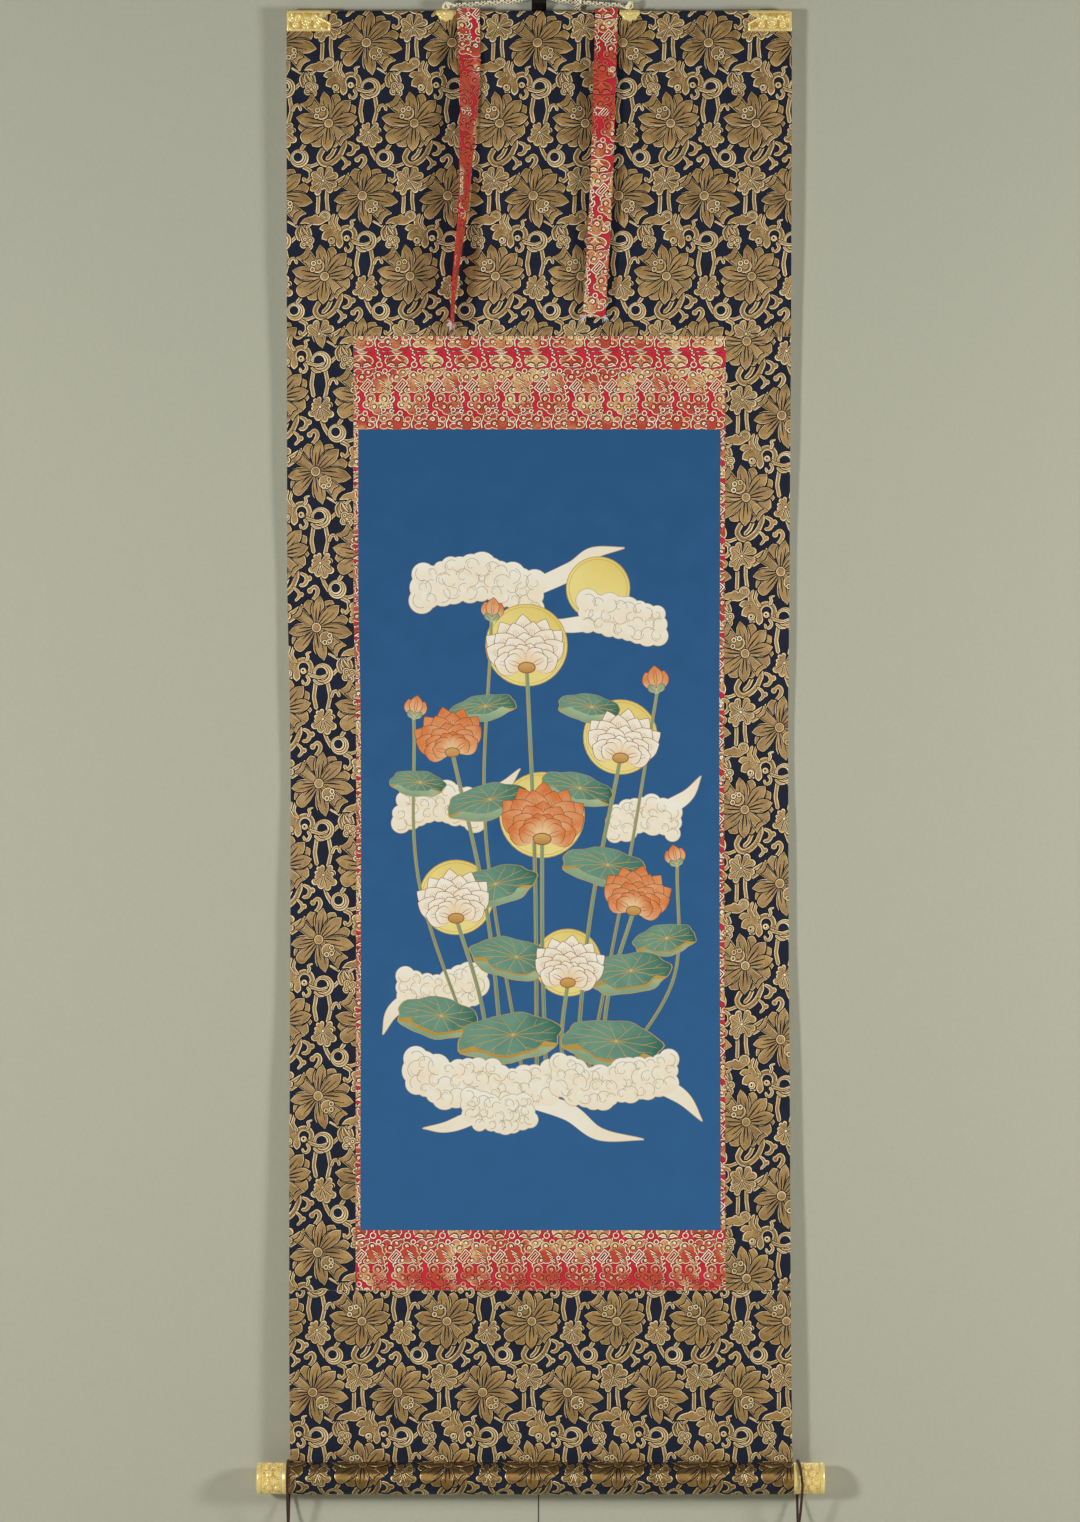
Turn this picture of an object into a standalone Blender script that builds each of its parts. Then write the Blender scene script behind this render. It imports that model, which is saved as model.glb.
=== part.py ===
"""A Japanese hanging scroll on its wall hook: a mounted picture in lotus brocade, with stave, roller,
two hanging ribbons, braided cords, gold fittings and two scroll weights.

Metres, +Z up, +X to the viewer's right, the wall in the plane Y = 0 and the viewer at -Y. The origin is
the middle of the hook's back face, where it is fixed to the wall.
"""

import math

import bmesh
import bpy
from mathutils import Matrix, Vector

MM = 0.001
GAP = 0.3 * MM

# Mounted cloth: silk with its paper lining. The widths are cut sizes, the drops are measured down from
# the scroll's top edge.
CLOTH = 1.2 * MM
CLOTH_WIDTH = 546 * MM
ART_WIDTH = 392 * MM
STRIP_WIDTH = 5 * MM
INNER_SHIFT = 0.8 * MM
UPPER_CLOTH_DROP = 353.6 * MM
UPPER_BAND_DROP = 455.1 * MM
ART_DROP = 1324.2 * MM
LOWER_BAND_DROP = 1389.5 * MM
CREASE_DROP = 1575.6 * MM

# Hook: a cast strap with a nose that carries the cord in a groove.
HOOK_WIDTH = 16 * MM
HOOK_HEIGHT = 66 * MM
HOOK_PLATE = 2.5 * MM
NOSE_DEPTH = 11 * MM
GROOVE_WIDTH = 11 * MM
LIP = 3 * MM
LIP_HEIGHT = 10 * MM
HOOK_BOTTOM = -HOOK_HEIGHT / 2
GROOVE_BOTTOM = HOOK_BOTTOM + NOSE_DEPTH
TOP_EDGE = HOOK_BOTTOM - 1.5 * MM

# Braid of the hanging cord and the wrapping cord.
BRAID_WIDTH = 8.5 * MM
BRAID_THICK = 1.8 * MM
BRAID_TILT = math.radians(22)

# Stave: flat in front, half round at the back.
STAVE_FRONT = -14.5 * MM
STAVE_DEPTH = 8 * MM
STAVE_HEIGHT = 21 * MM
STAVE_CORNER = 1 * MM
STAVE_TOP = TOP_EDGE - CLOTH - GAP
PANEL_TOP_Y = STAVE_FRONT - GAP - CLOTH / 2

# Roller and knobs.
ROLLER_RADIUS = 15.7 * MM
SLEEVE_RADIUS = ROLLER_RADIUS + GAP + CLOTH
ROLLER_Y = -21.3 * MM
ROLLER_Z = TOP_EDGE - CREASE_DROP - SLEEVE_RADIUS
KNOB_RADIUS = 17 * MM
KNOB_LENGTH = 33.6 * MM
LEFT_KNOB_X = -272.0 * MM
RIGHT_KNOB_X = 275.6 * MM
TENON_RADIUS = 7 * MM
TENON_LENGTH = 14 * MM

# Gold fittings on the stave.
PLATE = 0.8 * MM
CORNER_LENGTH = 47.5 * MM
CORNER_DROP = 22.6 * MM
NOTCH_DEPTH = 10 * MM
NOTCH_HEIGHT = 12 * MM
NOTCH_DROP = 8.4 * MM
SEAT_X = (-101 * MM, 98.5 * MM)
SEAT_WIDTH = 22.5 * MM
SEAT_DROP = 11.2 * MM
RING_RADIUS = 4.2 * MM
RING_WIRE = 0.75 * MM

# Ribbons that hang in front of the upper cloth.
RIBBON_WIDTH = 24.5 * MM
RIBBON_THICK = 1.6 * MM

# Scroll weights: a silk cord over each end of the roller, and a ball.
WEIGHT_CORD = 3.2 * MM
WEIGHT_RADIUS = 17 * MM
WEIGHT_DROP = 1652 * MM
LEFT_WEIGHT_X = -271.9 * MM
RIGHT_WEIGHT_X = 281 * MM

# How the cloth hangs: its left and right edge and its distance from the wall, at heights down the scroll.
# Its side edges curl forward most at half height, and the lower end sits slightly to the right.
HANG = (
    # drop, left edge, right edge, depth, all mm
    (0, -274.1, 274.7, 15.4),
    (300, -274.1, 274.1, 16.0),
    (500, -274.0, 273.1, 16.6),
    (640, -273.7, 272.4, 17.0),
    (740, -271.2, 271.3, 17.3),
    (860, -270.2, 271.2, 17.5),
    (1010, -270.4, 271.6, 17.7),
    (1180, -270.9, 272.6, 17.9),
    (1380, -271.2, 273.2, 18.1),
    (1520, -270.6, 274.4, 18.3),
    (1600, -269.6, 275.3, 18.4),
)
EDGE_CURL = 11.0 * MM
WAVE = 0.7 * MM

# The ribbons, row by row: the left one turns until it stands on edge, the right one leans to the left.
# turn is about the vertical, from facing the viewer; clear is from the cloth's face to the ribbon's middle.
LEFT_RIBBON = (
    # drop, x, clear, turn, in mm and degrees
    (-2.0, -77.0, 2.4, 0),
    (12, -76.6, 3.4, 4),
    (34, -76.0, 5.6, 12),
    (50, -75.4, 8.6, 20),
    (72, -74.9, 10.2, 28),
    (100, -75.3, 11.4, 36),
    (134, -77.2, 12.6, 44),
    (170, -79.4, 13.6, 53),
    (206, -81.2, 14.4, 61),
    (240, -84.4, 15.0, 69),
    (274, -88.8, 15.4, 76),
    (306, -92.2, 15.6, 81),
    (341, -94.0, 15.8, 84),
)
RIGHT_RIBBON = (
    # drop, x, clear, turn, in mm and degrees
    (-2.0, 73.2, 2.4, 0),
    (12, 73.0, 3.4, 2),
    (34, 72.6, 5.6, 5),
    (50, 72.0, 8.6, 7),
    (72, 71.2, 10.0, 8),
    (110, 70.2, 10.6, 7),
    (150, 69.0, 10.8, 5),
    (190, 67.6, 10.8, 3),
    (230, 65.8, 10.4, 0),
    (270, 63.6, 9.8, -4),
    (306, 61.4, 9.0, -8),
    (334, 59.8, 8.2, -10),
)

for leftover in list(bpy.data.objects):
    bpy.data.objects.remove(leftover, do_unlink=True)


def finish(name, colour, roughness, metallic=0.0):
    material = bpy.data.materials.new(name)
    material.use_nodes = True
    shader = material.node_tree.nodes["Principled BSDF"]
    shader.inputs["Base Color"].default_value = (*colour, 1)
    shader.inputs["Roughness"].default_value = roughness
    shader.inputs["Metallic"].default_value = metallic
    return material


NAVY_BROCADE = finish("navy_lotus_brocade", (0.05, 0.05, 0.08), 0.7)
RED_BROCADE = finish("red_gold_brocade", (0.62, 0.08, 0.06), 0.6)
BLUE_SILK = finish("blue_painted_silk", (0.03, 0.10, 0.22), 0.8)
GILT = finish("gilt_brass", (0.85, 0.60, 0.16), 0.3, 1.0)
BRAID = finish("cream_braid", (0.72, 0.65, 0.45), 0.7)
WEIGHT_SILK = finish("dark_red_silk_cord", (0.09, 0.02, 0.015), 0.6)
PLAIN_WOOD = finish("cedar", (0.52, 0.36, 0.20), 0.6)
BLACK_HOOK = finish("black_cast_hook", (0.01, 0.01, 0.01), 0.4)
WHITE_THREAD = finish("white_thread", (0.85, 0.82, 0.78), 0.8)
WEIGHT_CERAMIC = finish("ceramic", (0.75, 0.72, 0.64), 0.2)


def add_object(name, bm, material, smooth=True):
    """A finished mesh as its own object, with its normals facing out."""
    bmesh.ops.recalc_face_normals(bm, faces=bm.faces)
    mesh = bpy.data.meshes.new(name)
    bm.to_mesh(mesh)
    bm.free()
    mesh.materials.append(material)
    if smooth:
        mesh.shade_smooth()
        mesh.set_sharp_from_angle(angle=math.radians(35))
    piece = bpy.data.objects.new(name, mesh)
    bpy.context.scene.collection.objects.link(piece)
    return piece


def eased(table, column, at):
    """A column of a table at a value of its first column, on a smooth curve through the rows."""
    rows = [row for row in table if row[0] <= at]
    below = min(max(len(rows) - 1, 0), len(table) - 2)
    start, end = table[below], table[below + 1]
    before = table[max(below - 1, 0)]
    after = table[min(below + 2, len(table) - 1)]
    span = end[0] - start[0]
    share = min(max((at - start[0]) / span, 0), 1)
    slope_start = (end[column] - before[column]) / (end[0] - before[0]) * span
    slope_end = (after[column] - start[column]) / (after[0] - start[0]) * span
    square, cube = share**2, share**3
    return (
        (2 * cube - 3 * square + 1) * start[column]
        + (cube - 2 * square + share) * slope_start
        + (3 * square - 2 * cube) * end[column]
        + (cube - square) * slope_end
    )


def hang(x, drop):
    """Where a point of the cut cloth hangs: x from the middle of its width, drop down from its top edge."""
    at = drop / MM
    left = eased(HANG, 1, at) * MM
    right = eased(HANG, 2, at) * MM
    share = x / CLOTH_WIDTH + 0.5
    fall = math.sin(math.pi * min(max(at / 1580, 0), 1)) ** 2
    side = abs(2 * share - 1)
    depth = eased(HANG, 3, at) * MM - EDGE_CURL * fall * side**4
    depth += WAVE * fall * math.sin(at / 36 + 1.3 * share)
    return Vector((left + share * (right - left), -depth, TOP_EDGE - drop))


def spread(start, end, step):
    """Even places from start to end, no further apart than step."""
    count = max(1, math.ceil(abs(end - start) / step - 1e-6))
    return [start + (end - start) * i / count for i in range(count + 1)]


def thicken(piece, thickness, offset=0.0):
    modifier = piece.modifiers.new("Thickness", "SOLIDIFY")
    modifier.thickness = thickness
    modifier.offset = offset
    return piece


def surface(rows):
    """A bmesh of quads through rows of points, each row as long as the next."""
    bm = bmesh.new()
    previous = None
    for row in rows:
        current = [bm.verts.new(point) for point in row]
        if previous:
            for i in range(len(current) - 1):
                bm.faces.new((previous[i], previous[i + 1], current[i + 1], current[i]))
        previous = current
    return bm


def hung_panel(name, left, right, top, bottom, material, column_step=50 * MM, row_step=25 * MM):
    """A panel of mounted cloth, cut left to right and top to bottom, as it hangs."""
    columns = spread(left, right, column_step)
    rows = [[hang(x, drop) for x in columns] for drop in spread(top, bottom, row_step)]
    return thicken(add_object(name, surface(rows), material), CLOTH)


def stave_outline(offset, steps=10):
    """The stave's section from the front's foot, up, over and down its half-round back, offset outwards.

    Gives (y, z) points. The foot of the front is left square."""
    corner = STAVE_CORNER + offset
    centre_y, centre_z = STAVE_FRONT + STAVE_CORNER, STAVE_TOP - STAVE_CORNER
    points = [(STAVE_FRONT - offset, STAVE_TOP - STAVE_HEIGHT)]
    for i in range(steps // 2 + 1):
        angle = math.pi * (1 - 0.5 * i / (steps // 2))
        points.append((centre_y + corner * math.cos(angle), centre_z + corner * math.sin(angle)))
    half_height = STAVE_HEIGHT / 2
    depth = STAVE_DEPTH - STAVE_CORNER
    middle_z = STAVE_TOP - half_height
    for i in range(1, steps + 1):
        angle = math.pi / 2 - math.pi * i / steps
        y = centre_y + depth * math.cos(angle)
        z = middle_z + half_height * math.sin(angle)
        normal = Vector((math.cos(angle) / depth, math.sin(angle) / half_height)).normalized()
        points.append((y + offset * normal.x, z + offset * normal.y))
    return points


def extrude_section(points, left, right, name, material, smooth=True):
    """A closed (y, z) outline drawn out along X."""
    bm = bmesh.new()
    face = bm.faces.new([bm.verts.new((left, y, z)) for y, z in points])
    drawn = bmesh.ops.extrude_face_region(bm, geom=[face])["geom"]
    moved = [item for item in drawn if isinstance(item, bmesh.types.BMVert)]
    bmesh.ops.translate(bm, verts=moved, vec=(right - left, 0, 0))
    return add_object(name, bm, material, smooth)


def turned(name, profile, axis_point, direction, material, sides=32):
    """A piece turned on the lathe: profile is (distance along the axis, radius), from centre to centre."""
    axis = Vector(direction)
    side = Vector((0, 0, 1)) if abs(axis.z) < 0.5 else Vector((1, 0, 0))
    bm = bmesh.new()
    verts = [bm.verts.new(Vector(axis_point) + axis * along + side * radius) for along, radius in profile]
    edges = [bm.edges.new(pair) for pair in zip(verts, verts[1:])]
    bmesh.ops.spin(
        bm, geom=verts + edges, cent=axis_point, axis=axis, angle=2 * math.pi, steps=sides,
        use_merge=True, use_duplicate=False,
    )
    bmesh.ops.remove_doubles(bm, verts=bm.verts, dist=1e-6)
    return add_object(name, bm, material)


def cut(piece, cutter, operation="DIFFERENCE"):
    cutter.hide_render = True
    cutter.display_type = "WIRE"
    modifier = piece.modifiers.new("Cut", "BOOLEAN")
    modifier.object = cutter
    modifier.operation = operation


def smooth_route(points, step):
    """Even points on a smooth curve through a route's own points."""
    places = [Vector(point) for point in points]
    places = [2 * places[0] - places[1], *places, 2 * places[-1] - places[-2]]
    fine = []
    for a, b, c, d in zip(places, places[1:], places[2:], places[3:]):
        for i in range(24):
            t = i / 24
            fine.append(
                0.5 * (2 * b + (c - a) * t + (2 * a - 5 * b + 4 * c - d) * t**2
                       + (3 * b - a - 3 * c + d) * t**3)
            )
    fine.append(places[-2])
    lengths = [0.0]
    for p, q in zip(fine, fine[1:]):
        lengths.append(lengths[-1] + (q - p).length)
    count = round(lengths[-1] / step)
    route, index = [], 0
    for i in range(count + 1):
        goal = lengths[-1] * i / count
        while index < len(fine) - 2 and lengths[index + 1] < goal:
            index += 1
        share = (goal - lengths[index]) / max(lengths[index + 1] - lengths[index], 1e-9)
        route.append(fine[index].lerp(fine[index + 1], min(share, 1)))
    return route


def cord(name, route, radius, material, half_width=0.0, tilt=None, twist="MINIMUM"):
    """A cord along a route: round, or flat where half_width draws its section out sideways."""
    curve = bpy.data.curves.new(name, "CURVE")
    curve.dimensions = "3D"
    curve.bevel_depth = radius
    curve.bevel_resolution = 2
    curve.extrude = half_width
    curve.use_fill_caps = True
    curve.twist_mode = twist
    spline = curve.splines.new("POLY")
    spline.points.add(len(route) - 1)
    for i, point in enumerate(route):
        spline.points[i].co = (*point, 1)
        spline.points[i].tilt = tilt(point) if tilt else 0.0
    curve.materials.append(material)
    piece = bpy.data.objects.new(name, curve)
    bpy.context.scene.collection.objects.link(piece)
    return piece


# Cloth, from the top down. The upper and lower cloths hold the stave and the roller in their hems.
HEM_FLAP = 9 * MM
FLAP_CLEAR = CLOTH + 0.4 * MM


def upper_cloth():
    """The upper brocade, with its hem over the stave and glued down behind it."""
    columns = spread(-CLOTH_WIDTH / 2, CLOTH_WIDTH / 2, 46 * MM)
    middle = GAP + CLOTH / 2
    over = stave_outline(middle)[1:]
    foot_y, foot_z = over[-1]
    hem = [(PANEL_TOP_Y + FLAP_CLEAR, foot_z - 1.2 * MM)]
    hem.append((PANEL_TOP_Y + FLAP_CLEAR, hem[0][1] - HEM_FLAP))
    rows = []
    for y, z in reversed([*over, *hem]):
        rows.append([Vector((hang(x, 0).x, y, z)) for x in columns])
    front_foot = TOP_EDGE - over[0][1]
    for drop in spread(front_foot, UPPER_CLOTH_DROP - GAP / 2, 25 * MM)[1:]:
        rows.append([hang(x, drop) for x in columns])
    thicken(add_object("upper_cloth", surface(rows), NAVY_BROCADE), CLOTH)


def lower_cloth():
    """The lower brocade, which goes forward over the roller, under it, and up behind to its glued hem."""
    columns = spread(-CLOTH_WIDTH / 2, CLOTH_WIDTH / 2, 70 * MM)
    radius = ROLLER_RADIUS + GAP + CLOTH / 2
    rows = []
    crease = CREASE_DROP - 2 * MM
    for drop in spread(LOWER_BAND_DROP + GAP / 2, crease, 25 * MM):
        rows.append([hang(x, drop) for x in columns])
    foot_y = hang(0, crease).y
    last_y = foot_y + FLAP_CLEAR
    start = math.asin((ROLLER_Y - foot_y) / radius)
    end = 2 * math.pi + math.asin((ROLLER_Y - last_y) / radius)
    steps = 26
    sleeve = []
    for i in range(steps + 1):
        angle = start + (end - start) * i / steps
        sleeve.append((ROLLER_Y - radius * math.sin(angle), ROLLER_Z + radius * math.cos(angle)))
    sleeve.append((last_y, ROLLER_Z + radius + 2.2 * MM))
    sleeve.append((last_y + 0.2 * MM, ROLLER_Z + radius + HEM_FLAP))
    for y, z in sleeve:
        rows.append([Vector((hang(x, CREASE_DROP + SLEEVE_RADIUS).x, y, z)) for x in columns])
    thicken(add_object("lower_cloth", surface(rows), NAVY_BROCADE), CLOTH)


inner_left = INNER_SHIFT - ART_WIDTH / 2 - STRIP_WIDTH - GAP
inner_right = INNER_SHIFT + ART_WIDTH / 2 + STRIP_WIDTH + GAP
side_top, side_bottom = UPPER_CLOTH_DROP + GAP / 2, LOWER_BAND_DROP - GAP / 2

upper_cloth()
lower_cloth()
hung_panel("left_pillar", -CLOTH_WIDTH / 2, inner_left - GAP, side_top, side_bottom, NAVY_BROCADE, 25 * MM)
hung_panel("right_pillar", inner_right + GAP, CLOTH_WIDTH / 2, side_top, side_bottom, NAVY_BROCADE, 25 * MM)
hung_panel("upper_band", inner_left, inner_right, side_top, UPPER_BAND_DROP - GAP / 2, RED_BROCADE)
hung_panel("lower_band", inner_left, inner_right, ART_DROP + GAP / 2, side_bottom, RED_BROCADE)
hung_panel("picture", INNER_SHIFT - ART_WIDTH / 2, INNER_SHIFT + ART_WIDTH / 2,
           UPPER_BAND_DROP + GAP / 2, ART_DROP - GAP / 2, BLUE_SILK)
hung_panel("left_strip", inner_left, inner_left + STRIP_WIDTH, UPPER_BAND_DROP + GAP / 2,
           ART_DROP - GAP / 2, RED_BROCADE)
hung_panel("right_strip", inner_right - STRIP_WIDTH, inner_right, UPPER_BAND_DROP + GAP / 2,
           ART_DROP - GAP / 2, RED_BROCADE)


# Stave and roller, which the hems hold.
extrude_section(
    stave_outline(0), hang(-CLOTH_WIDTH / 2, 0).x + 1 * MM, hang(CLOTH_WIDTH / 2, 0).x - 1 * MM,
    "stave", PLAIN_WOOD,
)

core_left, core_right = LEFT_KNOB_X + GAP, RIGHT_KNOB_X - GAP
core_length = core_right - core_left
turned(
    "roller",
    [
        (-TENON_LENGTH, 0), (-TENON_LENGTH, TENON_RADIUS), (0, TENON_RADIUS), (0, ROLLER_RADIUS),
        (core_length, ROLLER_RADIUS), (core_length, TENON_RADIUS),
        (core_length + TENON_LENGTH, TENON_RADIUS), (core_length + TENON_LENGTH, 0),
    ],
    (core_left, ROLLER_Y, ROLLER_Z), (1, 0, 0), PLAIN_WOOD,
)


def knob(name, inner_x, outward):
    """A cast knob: a plain inner band, the chased drum, a groove and a rounded rim, with a socket inside."""
    socket = TENON_RADIUS + GAP
    depth = TENON_LENGTH + 2 * GAP
    rim = KNOB_LENGTH - 5 * MM
    profile = [
        (depth, 0), (depth, socket), (0, socket), (0, KNOB_RADIUS - 0.5 * MM), (0.5 * MM, KNOB_RADIUS),
        (5.4 * MM, KNOB_RADIUS), (5.9 * MM, KNOB_RADIUS - 0.4 * MM), (6.4 * MM, KNOB_RADIUS),
        (rim - 0.7 * MM, KNOB_RADIUS), (rim, KNOB_RADIUS - 0.8 * MM), (rim + 0.7 * MM, KNOB_RADIUS),
        (KNOB_LENGTH - 1.8 * MM, KNOB_RADIUS - 0.1 * MM), (KNOB_LENGTH - 0.5 * MM, KNOB_RADIUS - 0.7 * MM),
        (KNOB_LENGTH, KNOB_RADIUS - 2 * MM), (KNOB_LENGTH, 0),
    ]
    turned(name, profile, (inner_x, ROLLER_Y, ROLLER_Z), (outward, 0, 0), GILT, sides=28)


knob("left_knob", LEFT_KNOB_X, -1)
knob("right_knob", RIGHT_KNOB_X, 1)


# Gold fittings, bent over the stave outside the cloth.
def bent_plate(name, left, right, front_drop, back_drop):
    """Sheet metal that follows the wrapped stave: down its front, over its top and down its back."""
    inner_offset = GAP + CLOTH + GAP
    outlines = []
    for offset in (inner_offset, inner_offset + PLATE):
        outline = stave_outline(offset)[1:]
        outline = [outline[0], *[point for point in outline if point[1] > TOP_EDGE - back_drop]]
        outline.insert(0, (outline[0][0], TOP_EDGE - front_drop))
        del outline[1]
        outlines.append(outline)
    return extrude_section([*outlines[0], *reversed(outlines[1])], left, right, name, GILT)


def prism(name, outline, front_y, back_y):
    """A cutter with an (x, z) outline, from front_y to back_y."""
    bm = bmesh.new()
    face = bm.faces.new([bm.verts.new((x, front_y, z)) for x, z in outline])
    drawn = bmesh.ops.extrude_face_region(bm, geom=[face])["geom"]
    moved = [item for item in drawn if isinstance(item, bmesh.types.BMVert)]
    bmesh.ops.translate(bm, verts=moved, vec=(0, back_y - front_y, 0))
    return add_object(name, bm, GILT, smooth=False)


def corner_plate(name, outer_x, inward):
    """A corner plate whose inner end is notched like a swallow's tail."""
    inner_x = outer_x + inward * CORNER_LENGTH
    left, right = sorted((outer_x, inner_x))
    plate = bent_plate(name, left, right, CORNER_DROP, 19 * MM)
    middle = TOP_EDGE - NOTCH_DROP
    tip = inner_x - inward * NOTCH_DEPTH
    past = inner_x + inward * 1 * MM
    outline = [(tip, middle), (past, middle + NOTCH_HEIGHT / 2), (past, middle - NOTCH_HEIGHT / 2)]
    cut(plate, prism(name + "_notch", outline, STAVE_FRONT - 8 * MM, STAVE_FRONT + 2 * MM))


corner_plate("left_corner_plate", hang(-CLOTH_WIDTH / 2, 0).x + GAP, 1)
corner_plate("right_corner_plate", hang(CLOTH_WIDTH / 2, 0).x - GAP, -1)


def ring_seat(name, x):
    """Half a chrysanthemum on the front, the same behind, joined over the top edge."""
    seat = bent_plate(name, x - SEAT_WIDTH / 2, x + SEAT_WIDTH / 2, SEAT_DROP + 2 * MM, SEAT_DROP + 2 * MM)
    petals = 5
    steps = 30
    outline = [(x + SEAT_WIDTH / 2 + 1 * MM, TOP_EDGE + 6 * MM)]
    for i in range(steps + 1):
        angle = -math.pi * i / steps
        scallop = 0.88 + 0.12 * abs(math.sin(petals * angle))
        outline.append((
            x + SEAT_WIDTH / 2 * scallop * math.cos(angle) * 1.04,
            TOP_EDGE + 0.6 * MM + SEAT_DROP * scallop * 1.08 * math.sin(angle),
        ))
    outline.append((x - SEAT_WIDTH / 2 - 1 * MM, TOP_EDGE + 6 * MM))
    cut(seat, prism(name + "_outline", outline, STAVE_FRONT - 12 * MM, 8 * MM), "INTERSECT")


seat_top = STAVE_TOP + GAP + CLOTH + GAP + PLATE
ring_y = STAVE_FRONT + STAVE_CORNER + 0.6 * MM
ring_z = seat_top + GAP + 0.4 * MM + RING_RADIUS


def ring(name, x):
    """A gilt eye that stands on its seat and faces the viewer; the cord is tied through it."""
    bm = bmesh.new()
    centre = Vector((x, ring_y, ring_z))
    path = RING_RADIUS - RING_WIRE
    circle = bmesh.ops.create_circle(bm, segments=8, radius=RING_WIRE)["verts"]
    bmesh.ops.translate(bm, verts=circle, vec=(path, 0, 0))
    bmesh.ops.rotate(bm, verts=circle, cent=(path, 0, 0), matrix=Matrix.Rotation(math.pi / 2, 3, "X"))
    bmesh.ops.rotate(bm, verts=circle, cent=(0, 0, 0), matrix=Matrix.Rotation(math.pi / 2, 3, "X"))
    bmesh.ops.spin(
        bm, geom=circle + bm.edges[:], cent=(0, 0, 0), axis=(0, 1, 0), angle=2 * math.pi, steps=24,
        use_merge=True, use_duplicate=False,
    )
    bmesh.ops.translate(bm, verts=bm.verts, vec=centre)
    torus = add_object(name, bm, GILT)
    foot = bmesh.new()
    bmesh.ops.create_cone(
        foot, cap_ends=True, segments=12, radius1=1.6 * MM, radius2=1.0 * MM, depth=1.8 * MM,
        matrix=Matrix.Translation((x, ring_y, seat_top + GAP + 0.9 * MM)),
    )
    cut(torus, add_object(name + "_foot", foot, GILT), "UNION")


for side, x in zip(("left", "right"), SEAT_X):
    ring_seat(side + "_ring_seat", x)
    ring(side + "_ring", x)


# Hook.
def hook():
    back, front = 0.0, -HOOK_PLATE - GROOVE_WIDTH - LIP
    inner_lip = front + LIP
    outline = [(back, HOOK_BOTTOM), (back, -HOOK_BOTTOM), (-HOOK_PLATE, -HOOK_BOTTOM)]
    outline.append((-HOOK_PLATE, GROOVE_BOTTOM + 1.2 * MM))
    outline.append((-HOOK_PLATE - 1.2 * MM, GROOVE_BOTTOM))
    outline.append((inner_lip + 1.2 * MM, GROOVE_BOTTOM))
    outline.append((inner_lip, GROOVE_BOTTOM + 1.2 * MM))
    outline.append((inner_lip, GROOVE_BOTTOM + LIP_HEIGHT - 1 * MM))
    outline.append((inner_lip - 1 * MM, GROOVE_BOTTOM + LIP_HEIGHT))
    outline.append((front + 0.6 * MM, GROOVE_BOTTOM + LIP_HEIGHT - 0.4 * MM))
    outline.append((front, GROOVE_BOTTOM + LIP_HEIGHT - 1.4 * MM))
    outline.append((front, GROOVE_BOTTOM - 2.4 * MM))
    outline.append((-HOOK_PLATE - 3 * MM, HOOK_BOTTOM))
    extrude_section(outline, -HOOK_WIDTH / 2, HOOK_WIDTH / 2, "hook", BLACK_HOOK)


hook()


# Hanging cord: tied to both rings, over the hook. Drops below zero are above the scroll's top edge.
cord_y = -HOOK_PLATE - GROOVE_WIDTH / 2
cord_top = GROOVE_BOTTOM + GAP + BRAID_THICK / 2
knot_reach = RING_RADIUS + 3.6 * MM
KNOT_RADIUS = 3.0 * MM
KNOT_WIRE = 1.3 * MM
cord_end = ring_z + 0.4 * MM
HANGING_CORD = (
    (SEAT_X[0] + knot_reach + 2.0 * MM, ring_y, cord_end),
    (SEAT_X[0] + 24 * MM, ring_y + 0.6 * MM, cord_end + 0.9 * MM),
    (-52 * MM, -11.2 * MM, cord_end + 3.1 * MM),
    (-24 * MM, cord_y - 0.9 * MM, cord_end + 5.1 * MM),
    (-9 * MM, cord_y, cord_top - 0.15 * MM),
    (0, cord_y, cord_top),
    (9 * MM, cord_y, cord_top - 0.15 * MM),
    (24 * MM, cord_y - 0.9 * MM, cord_end + 5.1 * MM),
    (52 * MM, -11.2 * MM, cord_end + 3.0 * MM),
    (SEAT_X[1] - 24 * MM, ring_y + 0.6 * MM, cord_end + 0.9 * MM),
    (SEAT_X[1] - knot_reach - 2.0 * MM, ring_y, cord_end),
)


def braid_tilt(point):
    """The braid lies flat in the hook's groove and shows more of its face further out."""
    out = min(max((abs(point.x) - 10 * MM) / (26 * MM), 0), 1)
    return math.pi / 2 - BRAID_TILT * out * out * (3 - 2 * out)


hanging_route = smooth_route(HANGING_CORD, 6 * MM)
cord(
    "hanging_cord", hanging_route, BRAID_THICK / 2, BRAID, (BRAID_WIDTH - BRAID_THICK) / 2, braid_tilt,
    "Z_UP",
)


def knot(name, x, inward):
    """The turn of cord through the ring, seen as a small closed loop round its wire."""
    bm = bmesh.new()
    circle = bmesh.ops.create_circle(bm, segments=8, radius=KNOT_WIRE)["verts"]
    bmesh.ops.rotate(bm, verts=circle, cent=(0, 0, 0), matrix=Matrix.Rotation(math.pi / 2, 3, "X"))
    bmesh.ops.translate(bm, verts=circle, vec=(KNOT_RADIUS, 0, 0))
    bmesh.ops.spin(
        bm, geom=circle + bm.edges[:], cent=(0, 0, 0), axis=(0, 0, 1), angle=2 * math.pi, steps=20,
        use_merge=True, use_duplicate=False,
    )
    centre = Vector((x + inward * (RING_RADIUS - RING_WIRE - 0.1 * MM), ring_y, ring_z))
    bmesh.ops.translate(bm, verts=bm.verts, vec=centre)
    add_object(name, bm, BRAID)


knot("left_knot", SEAT_X[0], 1)
knot("right_knot", SEAT_X[1], -1)


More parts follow.
